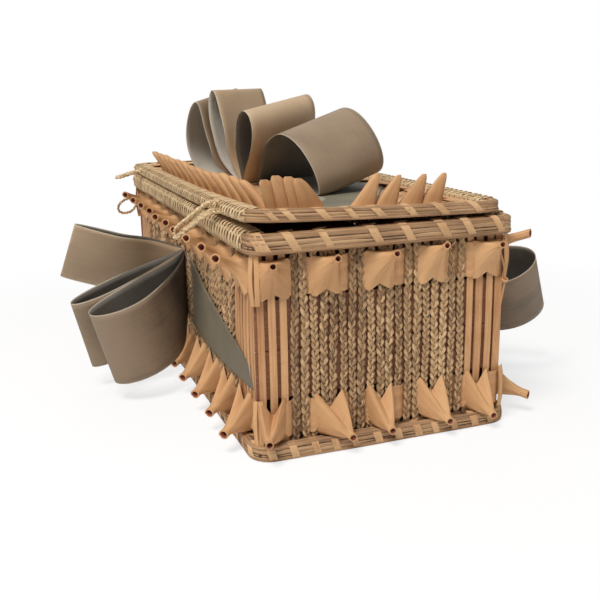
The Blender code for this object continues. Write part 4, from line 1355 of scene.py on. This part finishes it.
@dataclass
class Lid:
    """The lid: woven top, rim bundle, top hoop, lashing and four rows of fins."""
    rim: Hoop = field(default_factory=lambda: Hoop(
        "lid_rim", "lid", 71.6 * MM, 165.1 * MM, 12 * MM, 120.6 * MM, 129.2 * MM, 9.2 * MM,
        (*bundle_rows(120.6 * MM, 128.8 * MM, 4, -0.5 * MM), (-1.5 * MM, 128.9 * MM, 1.2 * MM, 0.7 * MM),
         (-3.4 * MM, 129.1 * MM, 1.4 * MM, 0.65 * MM), (-3.2 * MM, 120.8 * MM, 1.6 * MM, 0.6 * MM),
         (-4.4 * MM, 124.8 * MM, 3.6 * MM, 3.6 * MM)),
        LID_SHIFT, True, 0.66))
    hoop: Hoop = field(default_factory=lambda: Hoop(
        "lid_top_hoop", "lid", 65.7 * MM, 159.2 * MM, 3 * MM, 123.8 * MM, 128.4 * MM, 3.4 * MM,
        ((-0.9 * MM, 126.1 * MM, 0.8 * MM, 2.2 * MM), (-2.5 * MM, 126.0 * MM, 0.85 * MM, 2.1 * MM)),
        LID_SHIFT, True, 0.45))
    near_wraps: tuple[float, ...] = (-61.0, -51.0, -33.0, -17.3, -1.9, 14.4, 34.1, 55.0)

    def build(self, finishes: Finishes) -> None:
        """Build the lid's pieces."""
        Mat("lid_weave", "lid", "lid_mat", 65.4 * MM, 158.9 * MM, 122.9 * MM, 22, 46,
            LID_SHIFT, True).build(finishes.lash)
        self.rim.build_bundle(finishes.rim_splint, "sweetgrass_braid", ["lid_rim"])
        self.hoop.build_bundle(finishes.pale_grass, "sweetgrass_braid", ["lid_top_hoop"])
        work = Workpiece()
        self.rim.add_end_wraps(work, self.near_wraps, -3.6 * MM)
        work.deliver("lid_rim_wraps", "lid", [finishes.lash], ["lid_rim_lashing"], True)
        work = Workpiece()
        for sign in (1, -1):
            x = sign * 71.6 * MM + LID_SHIFT
            start = self.rim.loop.nearest(Vector((x, -sign * 155 * MM, 0)))
            stop = self.rim.loop.nearest(Vector((x, sign * 155 * MM, 0)))
            self.rim.add_whip(work, start, stop)
        work.deliver("lid_rim_whipping", "lid", [finishes.pale_grass], (), True)
        inner_x, inner_y = 60.3 * MM, 153.8 * MM
        near = [(tip, -1.0, FOLDED) for tip in (-63.5, -57.5, -51.0, -46.0)]
        near += [(tip, 1.0, SHARK) for tip in (4.0, 16.6, 31.4, 43.4)]
        left = [(-109.2 + 19.6 * k, -1.0, PLANK) for k in range(13)]
        for row in (
                FinRow("lid_points_near", 49.3 * MM, inner_y, 0.0, near),
                FinRow("lid_points_right", inner_y, inner_x, math.pi / 2,
                       [(-134.0 + 23.7 * k, -1.0, PRESSED) for k in range(13)]),
                FinRow("lid_points_far", 49.3 * MM, inner_y, math.pi,
                       [(-40.0 + 12.3 * k, -1.0, PRESSED) for k in range(8)]),
                FinRow("lid_points_left", inner_y, inner_x, 3 * math.pi / 2, left)):
            row.build(finishes)


@dataclass
class RibbonLoop:
    """A loop of ribbon: its tip from its root, and how wide open it stands."""
    name: str
    step: float
    side: float
    reach: tuple[float, float, float]
    across: tuple[float, float, float]
    fullness: float
    arch: float
    pinch: float
    # outside and inside pick each loop's ribbon colours, among them the lit and shaded copies that carry
    # painted light and painted shade. The gradient amount after them paints shade darker at the root.
    outside: Shade = Shade.TAUPE
    inside: Shade = Shade.DIM
    fade: float = 0.0
    width: float = 50 * MM
    root_width: float = 42 * MM

    def edge_pair(self, turn: float, root: Vector, root_across: Vector) -> tuple[Vector, Vector]:
        """Middle of the ribbon and its half width at a place round the loop.

        Args:
            turn: 0 at the start, half a turn at the tip, a whole turn at the end.
            root: where the loop leaves the basket.
            root_across: direction of its width there.

        Returns:
            The middle point and the vector from it to one edge.
        """
        along = Vector(self.reach).normalized()
        across = Vector(self.across)
        across = (across - along * across.dot(along)).normalized()
        normal = along.cross(across)
        share = (1 - math.cos(turn)) / 2
        swell = math.sin(turn) * share ** self.pinch * 1.3
        bow = 4 * self.arch * MM * share * (1 - share)
        lift = 0.5 * MM * math.cos(turn / 2) + self.fullness * MM / 2 * swell + bow
        blend = ease(share * 1.5)
        width = self.root_width + (self.width - self.root_width) * blend
        wide = root_across.lerp(across, blend).normalized() * width / 2
        return root + Vector(self.reach) * MM * share + normal * lift, wide


def ribbon_piece(name: str, body: str, middle: Callable[[float], tuple[Vector, Vector]], steps: int,
                 materials: Sequence[bpy.types.Material], floor: Callable[[float], float] | None = None,
                 fade: float = 0.0) -> None:
    """A sheet of ribbon through its middles and half widths.

    Args:
        name: the CAD node that it stands for.
        body: the CAD body that it rides on.
        middle: gives the middle and the vector to one edge at a share of the length.
        steps: steps along it.
        materials: outer and inner finishes.
        floor: the lowest height allowed at a share, if any.
        fade: how much lighter a loop is at its tip than at its root.
    """
    across = 12
    bm = bmesh.new()
    flow = bm.verts.layers.float_vector.new("flow")
    tone = bm.verts.layers.float.new("tone")
    bmesh.ops.create_grid(bm, x_segments=steps, y_segments=across, size=0.5)
    centres = [middle(k / steps) for k in range(steps + 1)]
    lengths, area = [0.0], 0.0
    for (a, wide_a), (b, wide_b) in zip(centres, centres[1:]):
        lengths.append(lengths[-1] + (b - a).length)
        area += (b - a).length * (wide_a.length + wide_b.length)
    seed = sum(ord(letter) for letter in name)
    for vert in bm.verts:
        step, share = round((vert.co.x + 0.5) * steps), vert.co.y * 2
        point, wide = centres[step]
        spot = point + wide * share
        if floor:
            spot.z = max(spot.z, floor(step / steps))
        vert[flow] = (lengths[step] + seed * 0.013, share * wide.length, 0.0)
        # Painted shade: the tone runs darker at a loop's root and lighter at its tip by the loop's gradient
        # amount. A negative amount turns it round.
        vert[tone] = 0.5 - 0.5 * fade * math.cos(TURN * step / steps)
        vert.co = spot
    bm.normal_update()
    for face in bm.faces:
        face.smooth = True
    made = bmesh.ops.solidify(bm, geom=bm.faces[:], thickness=-0.3 * MM)
    for item in made["geom"]:
        if isinstance(item, bmesh.types.BMFace):
            item.material_index = 1
            item.smooth = True
    mesh = bpy.data.meshes.new(name + "_ribbon")
    bm.to_mesh(mesh)
    bm.free()
    for material in materials:
        mesh.materials.append(material)
    made = bpy.data.objects.new(name + "_ribbon", mesh)
    bpy.context.scene.collection.objects.link(made)
    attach(made, body)
    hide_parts(name)
    LOG.info("%s: ribbon %.0f mm long", name, lengths[-1] / MM)


# Each loop's colours and gradient amount paint its light and shade. Loops lit from above take the lighter
# copies. Loops in shade take the darker copies, with shade painted towards the root.
LEFT_LOOPS = (
    RibbonLoop("left_bow_loop_near", -1, 0, (-61.5, -49.5, -26.5), (0.25, 0.17, -0.95), 31, 9.5, 0.96,
               Shade.BROWN, Shade.DIM, 1.0),
    RibbonLoop("left_bow_loop_middle", 0, 0, (-72.2, -22.9, -24.4), (0.23, 0.29, -0.93), 13, 2.5, 0.6),
    RibbonLoop("left_bow_loop_upper", 1, 0, (-73.7, 7.7, 24.0), (-0.13, 0.59, -0.79), 2.5, 0, 0.66,
               Shade.KHAKI),
)
RIGHT_LOOPS = (
    RibbonLoop("right_bow_loop_near", -1, 0, (65.1, -74.5, -1.0), (0.53, 0.37, -0.76), 36, -10, 0.97,
               Shade.BROWN, Shade.DIM, 0.7),
    RibbonLoop("right_bow_loop_far", 1, 0, (62, 48, -24), (-0.2, 0.1, -0.95), 26, 0, 0.8,
               Shade.BROWN, Shade.DIM, 0.7),
)
TOP_LOOPS = (
    RibbonLoop("top_bow_loop_1", 2.2, -2, (-34.3, 26.5, 56.1), (0.77, 0.62, 0.13), 22, 21, 0.74,
               Shade.TAUPE, Shade.GREY),
    RibbonLoop("top_bow_loop_2", 0.7, -8, (-15, 22.7, 60.2), (0.85, 0.53, -0.03), 10, 7, 0.5,
               Shade.KHAKI, Shade.GREY),
    RibbonLoop("top_bow_loop_3", -0.5, -8, (-3, -24.9, 51.5), (0.95, 0.26, 0.18), 20, 1, 0.8,
               Shade.KHAKI, Shade.DIM, 0.3),
    RibbonLoop("top_bow_loop_4", -2.4, 0, (11.6, -76.8, 20.7), (0.94, 0.17, 0.29), 50, 8.6, 0.95),
)


@dataclass
class WallBow:
    """A bow whose loops stand out from a long wall, with one tail along it."""
    loops: tuple[RibbonLoop, ...]
    side: float
    middle: float
    tail: str
    tail_start: float
    tail_way: float
    root_height: float = 62 * MM

    def build(self, finishes: Finishes) -> None:
        """Build the loops and the tail."""
        for loop in self.loops:
            root = Vector((self.side * 71.1 * MM, self.middle + loop.step * 3.4 * MM, self.root_height))

            def middle(share: float) -> tuple[Vector, Vector]:
                """Middle and half width round the loop."""
                return loop.edge_pair(TURN * share, root, Vector((0, 0, -1)))

            ribbon_piece(loop.name, "basket", middle, 64,
                         [finishes.ribbon[loop.inside], finishes.ribbon[loop.outside]], fade=loop.fade)

        def tail(share: float) -> tuple[Vector, Vector]:
            """Middle and half width along the tail."""
            high = (86.0 - 40.0 * share ** 1.2) * MM
            low = (37.2 - 2.4 * share) * MM
            x = self.side * (70.8 * MM + 3.5 * MM * math.sin(math.pi * share))
            y = self.tail_start + self.tail_way * 145 * MM * share
            return Vector((x, y, (low + high) / 2)), Vector((0, 0, (low - high) / 2))

        # The wall tails take the darker olive copy of the tail ribbon: painted shade.
        ribbon_piece(self.tail, "basket", tail, 30, [finishes.ribbon[Shade.OLIVE]] * 2)


@dataclass
class TopBow:
    """The bow on the lid: four loops that stand up and two flat tails."""
    leg_floor: float = 124.3 * MM
    loop_floor: float = 125.1 * MM

    def build(self, finishes: Finishes) -> None:
        """Build the loops and the tails."""
        for loop in TOP_LOOPS:
            root = Vector((loop.side * MM, loop.step * 3.4 * MM, 124.8 * MM))

            def middle(share: float) -> tuple[Vector, Vector]:
                """Middle and half width round the loop."""
                return loop.edge_pair(TURN * share, root, Vector((1, 0, 0)))

            def floor(share: float) -> float:
                """Lowest height of the loop at a share of its length."""
                reach = (1 - math.cos(TURN * share)) / 2
                return self.loop_floor if reach > 0.06 else self.leg_floor

            ribbon_piece(loop.name, "lid", middle, 64,
                         [finishes.ribbon[loop.inside], finishes.ribbon[loop.outside]], floor,
                         fade=loop.fade)
        near = (((-1, -14), (46, -14)), ((-20.6, -105.6), (46, -61)), ((-25.4, -136.4), (3, -140.7)))
        far = (((12, 22), (-38, 22)), ((14, 60), (-36, 75)), ((16, 105), (-34, 131)))
        for name, rows in (("top_bow_tail_near", near), ("top_bow_tail_far", far)):
            def tail(share: float) -> tuple[Vector, Vector]:
                """Middle and half width along the tail."""
                place = min(1.999, share * 2)
                (a, b), (c, d) = rows[int(place)], rows[int(place) + 1]
                left = Vector((*a, 0)).lerp(Vector((*c, 0)), place % 1) * MM
                right = Vector((*b, 0)).lerp(Vector((*d, 0)), place % 1) * MM
                ripple = 0.5 * MM * (1 + math.sin(share * 9.0)) * share
                middle = (left + right) / 2 + UP * (123.95 * MM + ripple)
                return middle, (right - left) / 2

            ribbon_piece(name, "lid", tail, 30, [finishes.ribbon[Shade.GREEN]] * 2)


def smooth_knots(knots: Sequence[Vector], each: int = 6) -> list[Vector]:
    """Catmull-Rom points through knots.

    Args:
        knots: points to pass through.
        each: points per span.

    Returns:
        The points.
    """
    padded = [knots[0] * 2 - knots[1], *knots, knots[-1] * 2 - knots[-2]]
    route = []
    for a, b, c, d in zip(padded, padded[1:], padded[2:], padded[3:]):
        for k in range(each):
            t = k / each
            route.append((b * 2 + (c - a) * t + (a * 2 - b * 5 + c * 4 - d) * t * t
                          + (b * 3 - a - c * 3 + d) * t ** 3) / 2)
    route.append(knots[-1].copy())
    return route


@dataclass
class Hinges:
    """Braided loops that tie the lid to the body, and the ring by the far corner."""
    plait: Plait = field(default_factory=lambda: Plait(3.1 * MM, 2.5 * MM, 8.0 * MM, 12, 6))

    def hairpin(self, leg: Sequence[Vector], bend: Vector, half: Vector) -> Route:
        """Down one leg, round the bend and back up the other."""
        knots = [p - half for p in leg] + [bend] + [p + half for p in reversed(leg)]
        return Route(smooth_knots(knots), 1.0 * MM, up=half.normalized())

    def build(self, finishes: Finishes) -> None:
        """Build the three braids."""
        near = self.hairpin([Vector(p) * MM for p in (
            (-74.5, -114, 126.2), (-78.8, -109, 125.6), (-81.2, -94, 119.8), (-84.4, -73, 111.0),
            (-86.6, -58, 104.4))], Vector((-87.2, -52.5, 101.6)) * MM, Vector((0, 1.2, 2.2)) * MM)
        far = self.hairpin([Vector(p) * MM for p in (
            (-74.7, 119.5, 124.9), (-83.7, 119.5, 122.9), (-91.2, 119.5, 120.9))],
            Vector((-94.7, 119.5, 120.4)) * MM, Vector((0, 2.0, 0)) * MM)
        work = Workpiece()
        self.plait.lay(work, lambda d, u, v: near.at(d, v, u), near.length, 0.0, 0.6)
        loop = work.deliver("near_hinge_braid", "basket", [finishes.pale_grass])
        loop.parent = None
        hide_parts("hinge_loop_near")
        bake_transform(loop)
        work = Workpiece()
        self.plait.lay(work, lambda d, u, v: far.at(d, v, u), far.length, 0.0, 0.6)
        work.deliver("far_hinge_braid", "lid", [finishes.pale_grass],
                     ["hinge_loop_far"], True)
        turns = [TURN * k / 24 for k in range(24)]
        ring = Route([Vector((-82.5 - 8.0 * math.cos(t), 157 - 2.6 * math.cos(t) + 1.5 * math.sin(t),
                              92.5 + 5.4 * math.sin(t) - 1.5 * math.cos(t))) * MM
                      for t in turns], 1.4 * MM, closed=True, up=Vector((-0.3, -0.95, 0.1)))
        thin = Plait(2.1 * MM, 1.9 * MM, ring.length / 6, 12, 6)
        work = Workpiece()
        thin.lay(work, lambda d, u, v: ring.at(d, v, u), ring.length, 0.0, 0.55)
        work.deliver("far_corner_ring", "basket", [finishes.grass],
                     ["hinge_ring_far"])


@dataclass
class LooseSplint:
    """A loose end of splint that hangs by the near right corner."""
    knots: tuple[tuple[float, float, float], ...] = (
        (66.5, -164.0, 99.5), (68.5, -165.4, 92.0), (70.0, -165.2, 83.5), (69.0, -165.0, 76.0),
        (67.0, -164.6, 64.0), (66.0, -164.0, 54.0))

    def build(self, finishes: Finishes) -> None:
        """Build the strip and its knot."""
        work = Workpiece()
        route = Route(smooth_knots([Vector(k) * MM for k in self.knots]), 1.2 * MM, up=Vector((1, 0, 0)))
        work.bend(Blank.FLAT, lambda d, u, v: route.at(d, v, u), route.length, (0.5 * MM, 0.2 * MM),
                  len(route.points), 1, 0.5)
        ring = Route([Vector((69.8 + 1.5 * math.cos(TURN * k / 12), -165.2 + 1.3 * math.sin(TURN * k / 12),
                              83 + 0.8 * math.sin(TURN * k / 12))) * MM for k in range(12)],
                     0.6 * MM, closed=True)
        work.bend(Blank.ROUND, lambda d, u, v: ring.at(d, u, v), ring.length, (0.5 * MM, 0.9 * MM),
                  len(ring.points), 6, 0.65, closed=True)
        work.deliver("loose_splint", "basket", [finishes.flat])


@dataclass
class Studio:
    """Camera at the photograph's angle, soft light and a pale floor."""
    place: tuple[float, float, float] = (-188.5 * MM, -545.6 * MM, 189.4 * MM)
    yaw: float = 20.10
    pitch: float = 14.54
    roll: float = -1.10
    lens: float = 50.44

    def build_camera(self) -> None:
        """Create the camera and make it the scene's."""
        yaw, pitch, roll = (math.radians(a) for a in (self.yaw, self.pitch, self.roll))
        ahead = Vector((math.sin(yaw) * math.cos(pitch), math.cos(yaw) * math.cos(pitch), -math.sin(pitch)))
        right = Vector((math.cos(yaw), -math.sin(yaw), 0))
        top = right.cross(ahead)
        x_axis = right * math.cos(roll) + top * math.sin(roll)
        y_axis = -right * math.sin(roll) + top * math.cos(roll)
        camera = bpy.data.objects.new("camera", bpy.data.cameras.new("camera"))
        camera.data.lens = self.lens
        camera.data.sensor_width = 36.0
        camera.data.clip_start = 0.01
        turned = Matrix((x_axis, y_axis, -ahead)).transposed().to_4x4()
        camera.matrix_world = Matrix.Translation(Vector(self.place)) @ turned
        bpy.context.scene.collection.objects.link(camera)
        bpy.context.scene.camera = camera

    def add_lamp(self, name: str, place: tuple, target: tuple, size: float, watts: float,
                 color: tuple = (1, 1, 1)) -> None:
        """Add a soft square lamp.

        Args:
            name: its name.
            place: where it stands.
            target: where it points.
            size: its width.
            watts: its power.
            color: its colour.
        """
        lamp = bpy.data.objects.new(name, bpy.data.lights.new(name, 'AREA'))
        lamp.data.size = size
        lamp.data.energy = watts
        lamp.data.color = color
        lamp.location = place
        lamp.rotation_euler = (Vector(target) - Vector(place)).to_track_quat('-Z', 'Y').to_euler()
        bpy.context.scene.collection.objects.link(lamp)

    def build_world(self) -> None:
        """Even pale world that shows as plain white."""
        world = bpy.data.worlds.new("studio")
        bpy.context.scene.world = world
        world.use_nodes = True
        tree = world.node_tree
        tree.nodes.clear()
        rays = tree.nodes.new('ShaderNodeLightPath')
        shown, fill = tree.nodes.new('ShaderNodeBackground'), tree.nodes.new('ShaderNodeBackground')
        shown.inputs[0].default_value = (1, 1, 1, 1)
        shown.inputs[1].default_value = 1.0
        fill.inputs[0].default_value = (0.97, 0.98, 1.0, 1)
        fill.inputs[1].default_value = 0.27
        mix, out = tree.nodes.new('ShaderNodeMixShader'), tree.nodes.new('ShaderNodeOutputWorld')
        either = tree.nodes.new('ShaderNodeMath')
        either.operation = 'MAXIMUM'
        tree.links.new(rays.outputs["Is Camera Ray"], either.inputs[0])
        tree.links.new(rays.outputs["Is Transmission Ray"], either.inputs[1])
        tree.links.new(either.outputs[0], mix.inputs[0])
        tree.links.new(fill.outputs[0], mix.inputs[1])
        tree.links.new(shown.outputs[0], mix.inputs[2])
        tree.links.new(mix.outputs[0], out.inputs[0])

    def build_floor(self) -> None:
        """Plain pale floor that keeps a soft shadow."""
        bm = bmesh.new()
        bmesh.ops.create_grid(bm, x_segments=1, y_segments=1, size=6.0)
        bmesh.ops.translate(bm, verts=bm.verts, vec=(0, 0, -0.3 * MM))
        mesh = bpy.data.meshes.new("floor")
        bm.to_mesh(mesh)
        bm.free()
        board = Board("pale_floor")
        tree = board.tree
        rays = board.node('ShaderNodeLightPath', {}, {})
        glow = board.node('ShaderNodeEmission', {}, {"Color": (1.0, 1.0, 1.0), "Strength": 1.0})
        mix = board.node('ShaderNodeMixShader', {}, {1: board.shader.outputs[0], 2: glow.outputs[0]})
        either = board.maths('MAXIMUM', rays.outputs["Is Camera Ray"], rays.outputs["Is Transmission Ray"])
        away = board.node('ShaderNodeVectorMath', {"operation": 'LENGTH'}, {0: board.place()})
        fade = board.ranged(Wire(board, away.outputs["Value"]), 0.22, 0.42)
        board.feed(mix.inputs[0], either * (0.7 + fade * 0.3))
        board.feed(board.shader.inputs["Base Color"], (0.95, 0.95, 0.95))
        board.feed(board.shader.inputs["Roughness"], 0.9)
        tree.links.new(mix.outputs[0], tree.nodes["Material Output"].inputs[0])
        mesh.materials.append(board.material)
        floor = bpy.data.objects.new("floor", mesh)
        bpy.context.scene.collection.objects.link(floor)

    def build(self) -> None:
        """Set up the whole studio."""
        bpy.context.scene.view_settings.view_transform = 'Standard'
        self.build_camera()
        self.build_world()
        self.build_floor()
        self.add_lamp("key", (-0.66, -0.66, 1.45), (0, 0, 0.06), 0.6, 25.0, (1.0, 0.985, 0.96))
        self.add_lamp("fill", (1.2, -1.1, 0.7), (0, 0, 0.06), 1.2, 2.0)
        self.add_lamp("back", (0.3, 1.4, 1.2), (0, 0, 0.08), 1.2, 4.0)


def main() -> None:
    """Build the whole basket in order and report each piece."""
    logging.basicConfig(level=logging.INFO, format="%(message)s")
    Studio().build()
    finishes = Finishes()
    WallSet().build(finishes)
    Band("bottom_band", 9.4 * MM, CurlStyle.BOTTOM, NEAR_BOTTOM, -160.5 * MM).build(finishes)
    Band("top_band", 84.4 * MM, CurlStyle.TOP, NEAR_TOP, -154.5 * MM).build(finishes)
    CornerBinders().build(finishes)
    Mat("base_weave", "basket", "base_mat", 66.6 * MM, 157.6 * MM, 3.0 * MM, 22, 46).build(finishes.lash)
    Rims().build(finishes)
    Lid().build(finishes)
    Hinges().build(finishes)
    WallBow(LEFT_LOOPS, -1.0, 0.0, "left_bow_tail", -7 * MM, -1.0).build(finishes)
    WallBow(RIGHT_LOOPS, 1.0, -28 * MM, "right_bow_tail", -21 * MM, 1.0).build(finishes)
    TopBow().build(finishes)
    LooseSplint().build(finishes)


if __name__ == "__main__":
    main()
